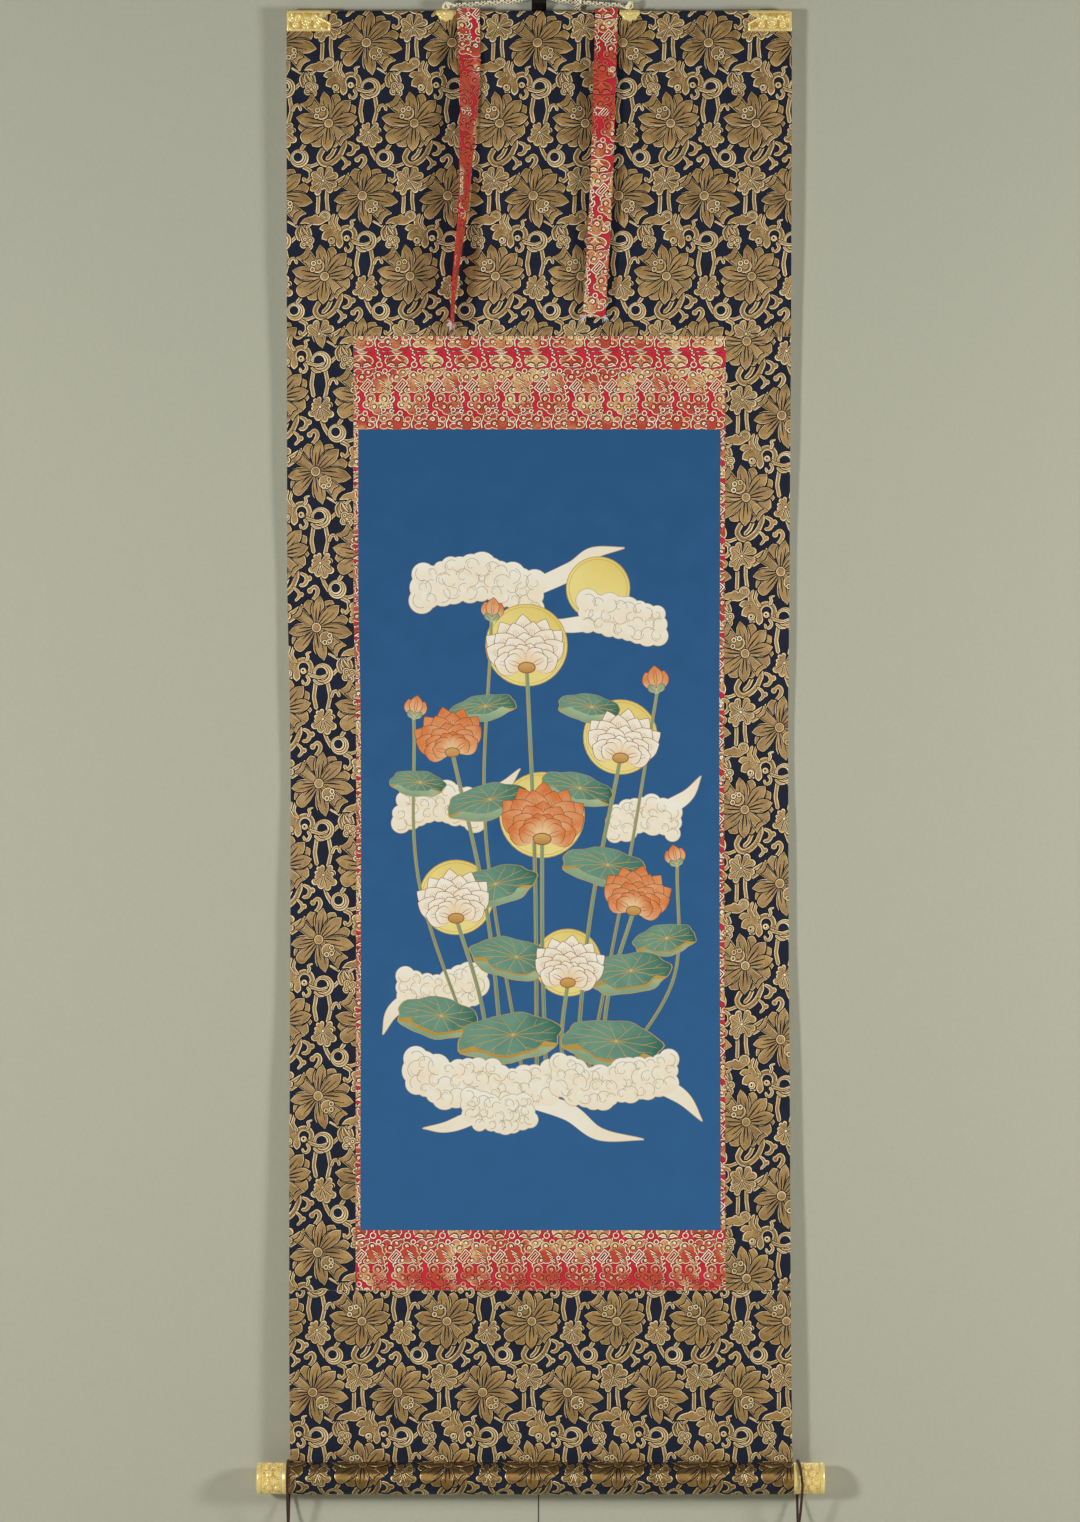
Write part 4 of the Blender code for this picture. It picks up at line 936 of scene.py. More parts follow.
# The hem behind the stave, from its free end to the front's foot, and the sleeve round the roller.
over = stave_outline(GAP + CLOTH / 2)
hem_y = STAVE_FRONT - GAP - CLOTH / 2 + FLAP_CLEAR
hem = np.array(((hem_y, over[-1][1] - 1.2), (hem_y, over[-1][1] - 1.2 - HEM_FLAP)))
HEM_PATH = np.concatenate((over, hem))
crease_y = float(hang(np.zeros(1), np.full(1, CREASE))[0][1])
sleeve = ROLLER_RADIUS + GAP + CLOTH / 2
turns = np.linspace(math.asin((ROLLER_Y - crease_y) / sleeve),
                    2 * math.pi + math.asin((ROLLER_Y - crease_y - FLAP_CLEAR) / sleeve), 60)
SLEEVE_PATH = np.concatenate((
    [(crease_y, TOP_EDGE - CREASE)],
    np.stack((ROLLER_Y - sleeve * np.sin(turns), ROLLER_Z + sleeve * np.cos(turns)), axis=1),
    [(crease_y + FLAP_CLEAR, ROLLER_Z + sleeve + 2.2),
     (crease_y + FLAP_CLEAR + 0.2, ROLLER_Z + sleeve + HEM_FLAP)],
))


def path_lengths(path):
    return np.concatenate(([0.0], np.cumsum(np.linalg.norm(np.diff(path, axis=0), axis=1))))


HEM_LENGTH, SLEEVE_LENGTH = path_lengths(HEM_PATH)[-1], path_lengths(SLEEVE_PATH)[-1]


def cloth_place(x, drop, lift):
    """Where cut cloth ends up, lift off its middle towards its face: hung, hemmed or round the roller."""
    step = 0.5
    here = hang(x, drop)
    across = hang(x + step, drop) - here
    down = hang(x, drop + step) - here
    normal = np.cross(down, across)
    normal /= np.linalg.norm(normal, axis=1)[:, None]
    places = here + normal * lift[:, None]
    for path, beyond, away, side in ((HEM_PATH, drop < FRONT_FOOT, FRONT_FOOT - drop, -1),
                                     (SLEEVE_PATH, drop > CREASE, drop - CREASE, 1)):
        lengths = path_lengths(path)
        heading = np.gradient(path, axis=0)
        heading /= np.linalg.norm(heading, axis=1)[:, None]
        at = away[beyond]
        y, z, ty, tz = (np.interp(at, lengths, table) for table in (*path.T, *heading.T))
        edge = hang(x[beyond], np.full(at.shape, 0.0 if side < 0 else CREASE_DROP + SLEEVE_RADIUS))[:, 0]
        places[beyond] = np.stack((edge, y + side * tz * lift[beyond], z - side * ty * lift[beyond]), axis=1)
    return places * MM


def laid(name, bm, place, materials, node, smooth_angle=38):
    """Flat cloth moved to where it hangs, with its flat measures kept as a UV map in metres."""
    piece = to_object(name, bm, materials, smooth_angle)
    mesh = piece.data
    flat = np.empty(len(mesh.vertices) * 3)
    mesh.vertices.foreach_get("co", flat)
    flat = flat.reshape(-1, 3)
    corners = np.empty(len(mesh.loops), dtype=np.int32)
    mesh.loops.foreach_get("vertex_index", corners)
    cut = mesh.uv_layers.new(name="cut")
    cut.data.foreach_set("uv", (flat[corners, :2] * MM).ravel().astype(np.float32))
    mesh.vertices.foreach_set("co", place(flat[:, 0], -flat[:, 1], flat[:, 2]).ravel().astype(np.float32))
    mesh.update()
    dress(piece, node)
    return piece


def woven_material(name, light, dark, thread, turn="Y", mottle=70, roughness=0.8, depth=0.1, **settings):
    """Silk or flat gold strips, with the weave's ribs a thread apart in metres and a slow drift of shade."""
    cloth, shader = new_material(name, Roughness=roughness, **settings)
    cut = add_node(cloth, "ShaderNodeUVMap", uv_map="cut").outputs[0]
    rib = add_node(cloth, "ShaderNodeTexWave", {"Vector": cut, "Scale": math.pi / (10 * thread),
                                                "Distortion": 0.6, "Detail": 1.0, "Detail Scale": 2.0},
                   wave_type="BANDS", bands_direction=turn).outputs["Fac"]
    drift = noise_of(cloth, cut, mottle, detail=4.0)
    link(cloth, blended(cloth, drift, dark, light), shader, "Base Color")
    raise_by(cloth, shader, rib, 0.5, depth)
    return cloth, shader, cut, rib


ROLLER_TURN_DROP = 1573


def shine_along_weft(material, shader, cut):
    """Strips and their thread shine along the weft, and are burnished where they turn over the roller."""
    weft = add_node(material, "ShaderNodeTangent", direction_type="UV_MAP", uv_map="cut").outputs[0]
    link(material, weft, shader, "Tangent")
    along = add_node(material, "ShaderNodeSeparateXYZ", {0: cut}).outputs["Y"]
    for socket, flat, burnished in (("Metallic", 0.2, 0.92), ("Roughness", 0.5, 0.38)):
        turned = spread(material, along, -ROLLER_TURN_DROP * MM, -(ROLLER_TURN_DROP + 3) * MM,
                        flat, burnished)
        link(material, turned, shader, socket)


def navy_materials():
    ground, *_ = woven_material("navy_silk_twill", "141d33", "0d1426", 0.9 * MM, "DIAGONAL",
                                Specular_IOR_Level=0.3)
    dark, *_ = woven_material("dark_binding_silk", "1a1315", "0e0b0e", 0.9 * MM, Specular_IOR_Level=0.25)
    pale, thread, pale_cut, _ = woven_material("pale_binding_thread", "fbe6ba", "d6b981", 0.9 * MM,
                                               Anisotropic=0.8)
    shine_along_weft(pale, thread, pale_cut)
    gold, shader, cut, rib = woven_material("gold_paper_weft", "b9955a", "957443", 1.15 * MM, Anisotropic=0.8)
    shine_along_weft(gold, shader, cut)
    tone = blended(gold, noise_of(gold, cut, 45, detail=5.0), "9c7a47", "bd9757")
    wear_and_painted_shade = noise_of(gold, cut, 620, detail=3.0, low=0.52, high=0.74)
    tone = blended(gold, wear_and_painted_shade, tone, "725334")
    gaps = spread(gold, rib, 0.0, 0.42, 0.6, 0.0)
    link(gold, blended(gold, gaps, tone, "4f3c24"), shader, "Base Color")
    return [ground, dark, pale, gold]


def lining_paper():
    """Mulberry paper, laid on the back in overlapping sheets: matt, with long pale fibres."""
    paper, shader = new_material("mulberry_paper_lining", Roughness=0.9, Specular_IOR_Level=0.2)
    cut = add_node(paper, "ShaderNodeUVMap", uv_map="cut").outputs[0]
    stretched = add_node(paper, "ShaderNodeMapping", {"Vector": cut, "Scale": (900, 130, 1)}).outputs[0]
    fibre = noise_of(paper, stretched, 1, detail=5.0)
    tone = blended(paper, noise_of(paper, cut, 14), "d9cfb4", "e6ddc6")
    link(paper, blended(paper, fibre, tone, "cbbf9f"), shader, "Base Color")
    raise_by(paper, shader, fibre, 0.3, 0.08)
    return paper


paper = lining_paper()
navy = [*navy_materials(), paper]
HALF = CLOTH_WIDTH / 2
side_top, side_bottom = UPPER_CLOTH_DROP + GAP / 2, LOWER_BAND_DROP - GAP / 2
stave_bends = FRONT_FOOT - np.concatenate((np.linspace(0, 3.0, 5), np.arange(5.5, HEM_LENGTH - 8, 2.5)))
sleeve_bends = CREASE + np.arange(0.05, SLEEVE_LENGTH - 5, 3.0)
PILLAR_STRETCH, LOWER_STRETCH = 169.6 / NAVY_CELL[1], 162.9 / NAVY_CELL[1]
UPPER_SHEAR = 4.4 / NAVY_CELL[1]
for name, borders, phase, bends, shear, stretch, rests in (
    ("upper_cloth", (-HALF, HALF, FRONT_FOOT - HEM_LENGTH, UPPER_CLOTH_DROP - GAP / 2), (-227.5, 122.4),
     stave_bends, UPPER_SHEAR, 1.0, "stave"),
    ("lower_cloth", (-HALF, HALF, LOWER_BAND_DROP + GAP / 2, CREASE + SLEEVE_LENGTH), (-193.8, 1423.0),
     sleeve_bends, 0.0, LOWER_STRETCH, "roller"),
    ("left_pillar", (-HALF, INNER_LEFT - GAP, side_top, side_bottom), (-280.2, 420.0), (), 0.0,
     PILLAR_STRETCH, "upper_cloth_brocade"),
    ("right_pillar", (INNER_RIGHT + GAP, HALF, side_top, side_bottom), (225.0, 359.0), (), 0.0,
     PILLAR_STRETCH, "upper_cloth_brocade"),
):
    flat = woven_piece(navy_repeat, NAVY_CELL, phase, borders, NAVY_KINDS, bends, shear, stretch)
    piece = laid(name + "_brocade", flat, cloth_place, navy, name)
    left, right, top, bottom = borders


# Red brocade: scarlet silk with clouds, frets and jewels in gold thread, bound in cream. The gold is painted
# orange-red in patches, as painted shade where the metal thread catches no light. It is the two bands, the
# strips beside the picture and the hanging ribbons.
def oval(centre, across, high, sides=20):
    return disc((0, 0), 1, sides) * (across, high) + centre


def cloud(lumps, curls, hearts=()):
    """A cloud of round lumps (x, y, radius, squash), with curls drawn inside and red hearts left open."""
    shapes = []
    for kind, grow in (("dark", 1.1), ("pale", 0.35), ("gold", -0.4)):
        shapes += [(kind, oval((x, y), radius + grow, radius * squash + grow, 16))
                   for x, y, radius, squash in lumps]
    for x, y, radius, start, end in curls:
        shapes.append(("dark", stroke(arc_points((x, y), radius + 0.6, start, end, 9, 0.6), 1.1)))
        shapes.append(("pale", stroke(arc_points((x, y), radius * 0.6, start, end, 9, 0.6), 1.2)))
    shapes += [("ground", oval((x, y), radius, radius * 0.7, 10)) for x, y, radius in hearts]
    return shapes


def jewel(centre, radius):
    steps = (("dark", radius + 0.6), ("pale", radius), ("dark", radius - 1.1), ("ground", radius - 1.6))
    return [(kind, disc(centre, size, 14)) for kind, size in steps]


def fret(centre, length, width, angle):
    """A key fret: a slanting bar in outline, with a second line inside it."""
    shapes = []
    for kind, grow in (("dark", 0.7), ("pale", 0), ("dark", -1.1), ("ground", -1.7), ("pale", -2.5),
                       ("dark", -3.3)):
        half, high = length / 2 + grow, width / 2 + grow
        if high > 0.2:
            corners = [(-half, -high), (half, -high), (half, high), (-half, high)]
            shapes.append((kind, np.array(on_axis(centre, angle, corners))))
    return shapes


def cloud_pattern():
    shapes = []
    # A bean-shaped cloud with two curls that meet at its foot.
    shapes += [("dark", oval((0, 0), 13.8, 7.9, 26)), ("pale", oval((0, 0), 13.0, 7.1, 26)),
               ("gold", oval((0, 0), 12.1, 6.2, 26))]
    for side in (-1, 1):
        path = ((side * 0.8, -6.4), (side * 2.4, -2.8), (side * 6.2, -1.4), (side * 10.2, -3.8))
        shapes += [("dark", stroke(path, 1.4)), ("pale", stroke([(x, y - 1.5) for x, y in path[1:]], 1.1))]
        shapes.append(("dark", stroke(((side * 2.6, 5.4), (side * 5.0, 2.6), (side * 8.6, 1.4)), 0.9)))
        shapes.append(("pale", stroke(((0, 5.4), (side * 1.6, 2.0), (side * 4.4, 0.6)), 1.0)))
    # A cloud that trails down to the left under it.
    shapes += cloud(((-8.6, -15.6, 4.8, 0.9), (-3.4, -12.0, 4.6, 0.8), (0.4, -18.0, 5.4, 0.9),
                     (6.6, -12.8, 5.2, 0.8), (12.0, -10.6, 3.4, 0.8), (-7.2, -21.2, 3.2, 1.0),
                     (-12.6, -11.6, 3.0, 0.9)),
                    ((0.4, -17.6, 2.9, 200, -120), (-8.6, -15.4, 2.6, 20, 330),
                     (7.2, -12.4, 2.4, 160, -150)))
    # A tall cloud with slanting stripes.
    shapes += cloud(((18.0, -15.6, 4.8, 0.9), (24.0, -19.4, 5.6, 1.0), (15.6, -22.8, 4.8, 1.0),
                     (27.0, -26.2, 5.2, 1.1), (19.2, -29.2, 6.4, 0.8), (12.4, -32.0, 3.8, 0.7),
                     (28.4, -33.4, 3.4, 1.0)),
                    ((18.0, -15.4, 2.6, -20, 300), (13.4, -31.2, 2.2, 40, 340), (26.4, -31.4, 2.2, 0, 280)),
                    ((23.8, -29.6, 2.6),))
    for shift in (0, 3.4, 6.6, 9.6):
        path = ((18.6 + shift * 0.5, -19.0 - shift), (24.2 + shift * 0.4, -22.6 - shift))
        shapes.append(("dark", stroke(path, 0.9)))
        shapes.append(("pale", stroke([(x, y - 1.3) for x, y in path], 0.9)))
    # A broad cloud with two horns.
    shapes += cloud(((9.8, -40.6, 5.2, 1.0), (24.2, -40.6, 5.2, 1.0), (5.6, -47.4, 4.4, 0.9),
                     (12.6, -49.2, 5.8, 0.9), (21.4, -49.6, 6.0, 0.9), (28.8, -47.6, 4.4, 0.9),
                     (17.0, -54.6, 5.2, 0.7)),
                    ((10.0, -41.0, 3.2, 250, -70), (24.0, -41.0, 3.2, -70, 250),
                     (13.4, -50.0, 2.8, 100, -200), (21.4, -50.6, 2.8, 80, 380), (6.0, -47.6, 2.2, 160, 420)),
                    ((17.0, -40.0, 2.4),))
    # A low cloud with one large curl.
    shapes += cloud(((-13.4, -63.6, 4.4, 0.9), (-8.0, -60.0, 5.2, 0.9), (-6.2, -68.6, 6.2, 0.8),
                     (1.6, -63.8, 6.6, 1.0), (9.0, -69.6, 5.6, 0.7), (0.6, -72.4, 6.0, 0.6),
                     (-13.8, -71.0, 4.2, 0.7), (12.4, -63.4, 3.2, 0.8)),
                    ((1.4, -63.6, 4.2, 180, -160), (-7.4, -68.2, 2.8, 30, 330), (-8.4, -60.2, 2.4, 200, -60),
                     (9.0, -69.2, 2.4, 120, 380)))
    shapes += cloud(((23.6, -62.2, 4.4, 0.9), (29.6, -60.0, 3.8, 0.9)), ((24.2, -62.4, 2.4, 0, 300),))
    shapes += fret((4.9, -26.6), 14.6, 8.4, 50)
    shapes += jewel((25.2, -11.0), 3.0) + jewel((19.2, -4.0), 3.6) + jewel((3.9, -56.8), 3.0)
    shapes += jewel((32.4, -54.6), 2.4) + jewel((-5.8, -28.4), 2.4) + jewel((-14.2, -53.2), 2.8)
    for path in (((6.6, -33.0), (3.4, -35.0), (4.0, -38.0)), ((18.8, -58.8), (18.2, -63.2), (16.2, -66.8),
                 (17.0, -72.6)), ((-2.8, -33.4), (-6.4, -36.4), (-4.6, -39.6), (-8.0, -43.2)),
                 ((34.4, -38.4), (35.6, -42.0), (33.2, -45.0)), ((16.6, 4.6), (20.6, 1.6), (19.6, -0.2))):
        shapes += [("dark", stroke(path, 2.6)), ("pale", stroke(path, 1.25))]
    for place in ((-4.4, -50.6), (-8.8, -48.6), (15.2, -7.6), (17.4, 8.6), (33.0, -70.6), (-3.4, -54.0),
                  (19.4, -77.2), (25.4, -78.6), (-9.8, -79.2), (21.8, -56.6)):
        shapes += discs(place, 8, dark=1.8, pale=1.0)
    return [(kind, outline + (0, 38.0)) for kind, outline in shapes]


RED_KINDS = ("ground", "dark", "pale", "gold", "paper")
RED_CELL = (37.8, 84.0)
red_repeat = woven_repeat(RED_CELL, cloud_pattern(), RED_KINDS, (0, 0, 0.22, 0.22))


def red_threads(name, gold_painted_shade=(0, 0), cream_painted_shade=(0, 0), patchy=0.46):
    """The cream and the gold, each dulled to orange between two places on its length, in millimetres, as
    painted shade where the threads catch no light. patchy is how far the noise has to fall for a place to be
    dulled in full."""
    pale, thread, pale_cut, _ = woven_material(name + "_cream_thread", "fff0c6", "eec48e", 0.9 * MM,
                                               mottle=55)
    gold, shader, cut, rib = woven_material(name + "_changing_gold_thread", "e8d29a", "d97f4c", 1.3 * MM,
                                            roughness=0.55, Metallic=0.1)
    # Painted shade: the gold thread is painted orange-red in patches, as it looks where it catches no light.
    patch = noise_of(gold, cut, 17, detail=2.0, low=0.42, high=0.6)
    tone = blended(gold, noise_of(gold, cut, 90, detail=3.0), "f4dd9c", "e6b062")
    tone = blended(gold, patch, "c8482c", tone)
    # Fine specks of the gold darkened to red-brown.
    fine_dark_specks = noise_of(gold, cut, 480, detail=3.0, low=0.5, high=0.7)
    tone = blended(gold, fine_dark_specks, tone, "a83c2a")
    gaps = spread(gold, rib, 0.0, 0.4, 0.5, 0.0)
    tone = blended(gold, gaps, tone, "7a2420")
    cream = blended(pale, noise_of(pale, pale_cut, 55, detail=2.0), "f8dca8", "fff8dc")
    # Painted shade: between the given drops the gold and the cream are dulled to orange in patches, as they
    # look where they catch no light.
    for material, place, base, dull, wear_and_painted_shade, shading in ((gold, cut, tone, "c04428", gold_painted_shade, shader),
                                                       (pale, pale_cut, cream, "d8603f", cream_painted_shade, thread)):
        along = add_node(material, "ShaderNodeSeparateXYZ", {0: place}).outputs["Y"]
        share = noise_of(material, place, 30, detail=2.0, low=0.6, high=patchy)
        for start, reach, low, high in ((wear_and_painted_shade[0], 8, 0.0, 1.0), (wear_and_painted_shade[1], 14, 1.0, 0.0)):
            part = spread(material, along, -start * MM, -(start + reach) * MM, low, high)
            share = combined(material, "MULTIPLY", share, part)
        link(material, blended(material, share, base, dull), shading, "Base Color")
    return [pale, gold]


scarlet, *_ = woven_material("scarlet_silk_twill", "d81e36", "bd1128", 0.9 * MM, "DIAGONAL",
                             Specular_IOR_Level=0.35, roughness=0.7)
crimson, *_ = woven_material("crimson_binding_silk", "6a0c14", "480a0e", 0.9 * MM, roughness=0.75)
FOLD_DROP, SEAM_GAP = 370.4, 0.35
ART_LEFT, ART_RIGHT = INNER_SHIFT - ART_WIDTH / 2, INNER_SHIFT + ART_WIDTH / 2


def joined_above(bm, other):
    """Adds one flat cut to another, as where two widths are sewn edge to edge."""
    mesh = bpy.data.meshes.new("sewn_width")
    other.to_mesh(mesh)
    other.free()
    bm.from_mesh(mesh)
    return bm


# Painted shade: the fourth column gives the drops between which the gold, then the cream, are dulled to orange
# where they catch no light.
for name, borders, phase, painted_shade_drops, rests in (
    ("upper_band", (INNER_LEFT, INNER_RIGHT, FOLD_DROP, UPPER_BAND_DROP - GAP / 2), (-154.0, 418.6),
     ((430, 600),), "upper_cloth_brocade"),
    ("lower_band", (INNER_LEFT, INNER_RIGHT, ART_DROP + GAP / 2, side_bottom), (-163.0, 1364.0),
     ((1340, 1500), (1362, 1500)), "lower_cloth_brocade"),
    ("left_strip", (INNER_LEFT, INNER_LEFT + STRIP_WIDTH, UPPER_BAND_DROP + GAP / 2, ART_DROP - GAP / 2),
     (-190.0, 460.0), (), "left_pillar_brocade"),
    ("right_strip", (INNER_RIGHT - STRIP_WIDTH, INNER_RIGHT, UPPER_BAND_DROP + GAP / 2,
                     ART_DROP - GAP / 2), (190.0, 472.0), (), "right_pillar_brocade"),
):
    flat = woven_piece(red_repeat, RED_CELL, phase, borders, RED_KINDS)
    left, right, top, bottom = borders
    if name == "upper_band":
        top = side_top
        flat = joined_above(flat, woven_piece(red_repeat, RED_CELL, (-156.0, 330.0),
                                              (left, right, top, FOLD_DROP - SEAM_GAP), RED_KINDS))
    silks = [scarlet, crimson, *red_threads(name, *painted_shade_drops), paper]
    piece = laid(name + "_brocade", flat, cloth_place, silks, name)


# Hanging ribbons: a strip of the red brocade folded to a double width and sewn to the top edge. The left
# one has turned until it stands on edge. Silk threads are sewn through their lower corners.
RIBBON_WIDTH, RIBBON_THICK = 24.5, 1.6
LEFT_RIBBON = (
    # drop, x, from the cloth's face to the middle, turn in degrees from facing the viewer
    (-2.0, -77.0, 2.4, 0), (12, -76.6, 3.4, 4), (34, -76.0, 5.6, 12), (50, -75.4, 8.6, 20),
    (72, -74.9, 10.2, 30), (100, -75.3, 11.4, 40), (134, -77.2, 12.6, 49), (170, -79.4, 13.6, 58),
    (206, -81.2, 14.4, 66), (240, -84.4, 15.0, 73), (274, -88.8, 15.4, 79), (306, -92.2, 15.6, 82),
    (341, -94.0, 15.8, 84),
)
RIGHT_RIBBON = (
    (-2.0, 73.2, 2.4, 0), (12, 73.0, 3.4, 2), (34, 72.6, 5.6, 5), (50, 72.0, 8.6, 7), (72, 71.2, 10.0, 8),
    (110, 70.2, 10.6, 7), (150, 69.0, 10.8, 5), (190, 67.6, 10.8, 3), (230, 65.8, 10.4, 0),
    (270, 63.6, 9.8, -4), (306, 61.4, 9.0, -8), (334, 59.8, 8.2, -10),
)


def ribbon_place(table, crease):
    """A ribbon's own way from flat to hung. crease is the drop of its slanting fold at the two edges."""
    def place(x, drop, lift):
        middle, clear, turn = (eased(table, column, drop) for column in (1, 2, 3))
        turn = np.radians(turn)
        face = hang(middle, np.maximum(drop, 0))[:, 1] - CLOTH / 2 - clear
        across = np.stack((np.cos(turn), np.sin(turn), np.zeros_like(turn)), axis=1)
        out = np.stack((np.sin(turn), -np.cos(turn), np.zeros_like(turn)), axis=1)
        share = x / RIBBON_WIDTH + 0.5
        fold = drop - (crease[0] + (crease[1] - crease[0]) * share)
        raised = lift * RIBBON_THICK / CLOTH + 0.9 * np.exp(-(fold / 2.6) ** 2)
        raised += 0.35 * np.sin(drop / 23 + 2.2 * share) * np.clip((drop - 60) / 80, 0, 1)
        raised *= 1 - 0.35 * np.abs(2 * share - 1) ** 6
        centre = np.stack((middle, face, TOP_EDGE - drop), axis=1)
        return (centre + across * x[:, None] + out * raised[:, None]) * MM
    return place


ribbon_edge = RIBBON_WIDTH / 2
ribbon_ends = {}
# Painted shade: the last two columns give the drops between which the gold and the cream are dulled to orange
# where they catch no light.
for side, table, crease, phase, gold_painted_shade, cream_painted_shade in (
    ("left", LEFT_RIBBON, (30, 58), (6.0, 14.0), (-20, 400), (48, 400)),
    ("right", RIGHT_RIBBON, (60, 32), (-4.0, 40.0), (-20, 130), (42, 130)),
):
    top, bottom = table[0][0], table[-1][0]
    flat = woven_piece(red_repeat, RED_CELL, phase, (-ribbon_edge, ribbon_edge, top, bottom), RED_KINDS,
                       np.arange(top + 6, bottom, 6), back="ground")
    place = ribbon_place(table, crease)
    silks = [scarlet, crimson, *red_threads(side + "_ribbon", gold_painted_shade, cream_painted_shade, 0.56), paper]
    piece = laid(side + "_ribbon_brocade", flat, place, silks, side + "_ribbon")
    corners = place(np.array([-ribbon_edge + 2, ribbon_edge - 2]), np.full(2, bottom - 1.0), np.zeros(2))
    ribbon_ends[side] = [Vector(corner) for corner in corners]


# The picture: fine silk, painted in mineral colours on a deep blue ground, with gold lines. The design is
# a plain lotus pond in drifting clouds: pale discs, blossoms, leaves and buds, in many thin washes.
ART_HEIGHT = ART_DROP - UPPER_BAND_DROP - GAP
ART_KINDS = ("ground", "cloud", "cloud_line", "disc", "gold_line", "petal", "orange_petal", "petal_line",
             "leaf", "under_leaf", "stem", "ochre", "paper")
art = []


def paint(kind, outline, root=None, tip=None):
    """One wash, with the line along which its tint runs from 0 to 1."""
    art.append((kind, outline, root, tip))


def polar(centre, angle, reach):
    turn = math.radians(angle)
    return (centre[0] + reach * math.cos(turn), centre[1] + reach * math.sin(turn))


def painted_disc(centre, radius):
    paint("gold_line", disc(centre, radius + 0.9, 40))
    paint("disc", disc(centre, radius, 40), centre, polar(centre, 60, radius))
    paint("gold_line", disc(centre, radius - 2.2, 40))
    paint("disc", disc(centre, radius - 2.7, 40), centre, polar(centre, 60, radius))


def painted_cloud(path, radius, seed, tail=None):
    """A bank of round lumps along a line, outlined as one, with a scroll line in each lump."""
    lumps = []
    for i, (x, y) in enumerate(curve_through(path, radius * 0.62)):
        for row in (-1, 0, 1):
            sway = noise.noise(Vector((seed + i * 1.7, row * 3.1, 0.4)))
            lumps.append((x + 5 * sway, y + row * radius * 0.72 + 3 * sway,
                          radius * (0.62 + 0.34 * noise.noise(Vector((seed * 2 + i * 0.9, row * 2.2, 1.5))))))
    if tail:
        paint("cloud_line", stroke(tail, radius * 0.9, 0.55, ends=(1.0, 0.08)))
    for x, y, size in lumps:
        paint("cloud_line", disc((x, y), size + 0.55, 22))
    if tail:
        paint("cloud", stroke(tail, radius * 0.9, 0.0, ends=(1.0, 0.05)), tail[-1], tail[0])
    for x, y, size in lumps:
        paint("cloud", disc((x, y), size, 22), (x, y - size), (x, y + size))
    for i, (x, y, size) in enumerate(lumps):
        turn = 360 * noise.noise(Vector((seed + x * 0.05, y * 0.05, 2.0)))
        outer = arc_points((x, y), size * 0.72, turn, turn + 150, 7, 0.25)
        paint("cloud_line", stroke(outer, 0.62, step=2.2))
        if i % 2:
            inner = arc_points((x, y), size * 0.4, turn + 100, turn + 300, 7, 0.5)
            paint("cloud_line", stroke(inner, 0.5, step=2.0))


def painted_petal(centre, angle, reach, width, kind, lines=2):
    root, tip = polar(centre, angle, 0.12 * reach), polar(centre, angle, reach)
    paint("petal_line", petal(centre, angle, reach, width, "pointed", 0.45), root, tip)
    paint(kind, petal(centre, angle, reach, width, "pointed"), root, tip)
    for i in range(lines):
        lean = (i + 1) / (lines + 1) - 0.5
        path = on_axis(centre, angle, [(0.2 * reach, 0.1 * lean * width), (0.55 * reach, 0.62 * lean * width),
                                       (0.84 * reach, 0.3 * lean * width)])
        paint("petal_line", stroke(path, 0.55, ends=(1.0, 0.4), step=2.4))


def painted_lotus(centre, size, kind, lean=0.0):
    """An open lotus from the side: three rows of petals, the front ones lowest and broadest."""
    for row, (angles, reach, width) in enumerate((
        ((90, 64, 116, 42, 138), 1.0, 0.42), ((77, 103, 52, 128, 30, 150), 0.88, 0.46),
        ((90, 62, 118, 36, 144, 14, 166), 0.66, 0.44), ((76, 104, 48, 132, 22, 158), 0.46, 0.36),
    )):
        for angle in angles:
            shorter = 1 - 0.08 * abs(angle - 90) / 90
            painted_petal(centre, angle + lean, size * reach * shorter, size * width, kind,
                          3 if row < 2 else 2)
    paint("petal_line", oval(centre, size * 0.17, size * 0.11))
    x, y = centre
    paint("ochre", oval(centre, size * 0.15, size * 0.09), (x, y - 5), (x, y + 5))


def painted_bud(centre, size, lean=0.0):
    for angle in (66, 114, 90):
        reach = size * (1.0 if angle == 90 else 0.86)
        painted_petal(centre, angle + lean, reach, size * 0.52, "orange_petal")
    for angle in (48, 132):
        painted_petal(centre, angle + lean, size * 0.42, size * 0.26, "under_leaf", 1)


LEAF_POINTS = 44


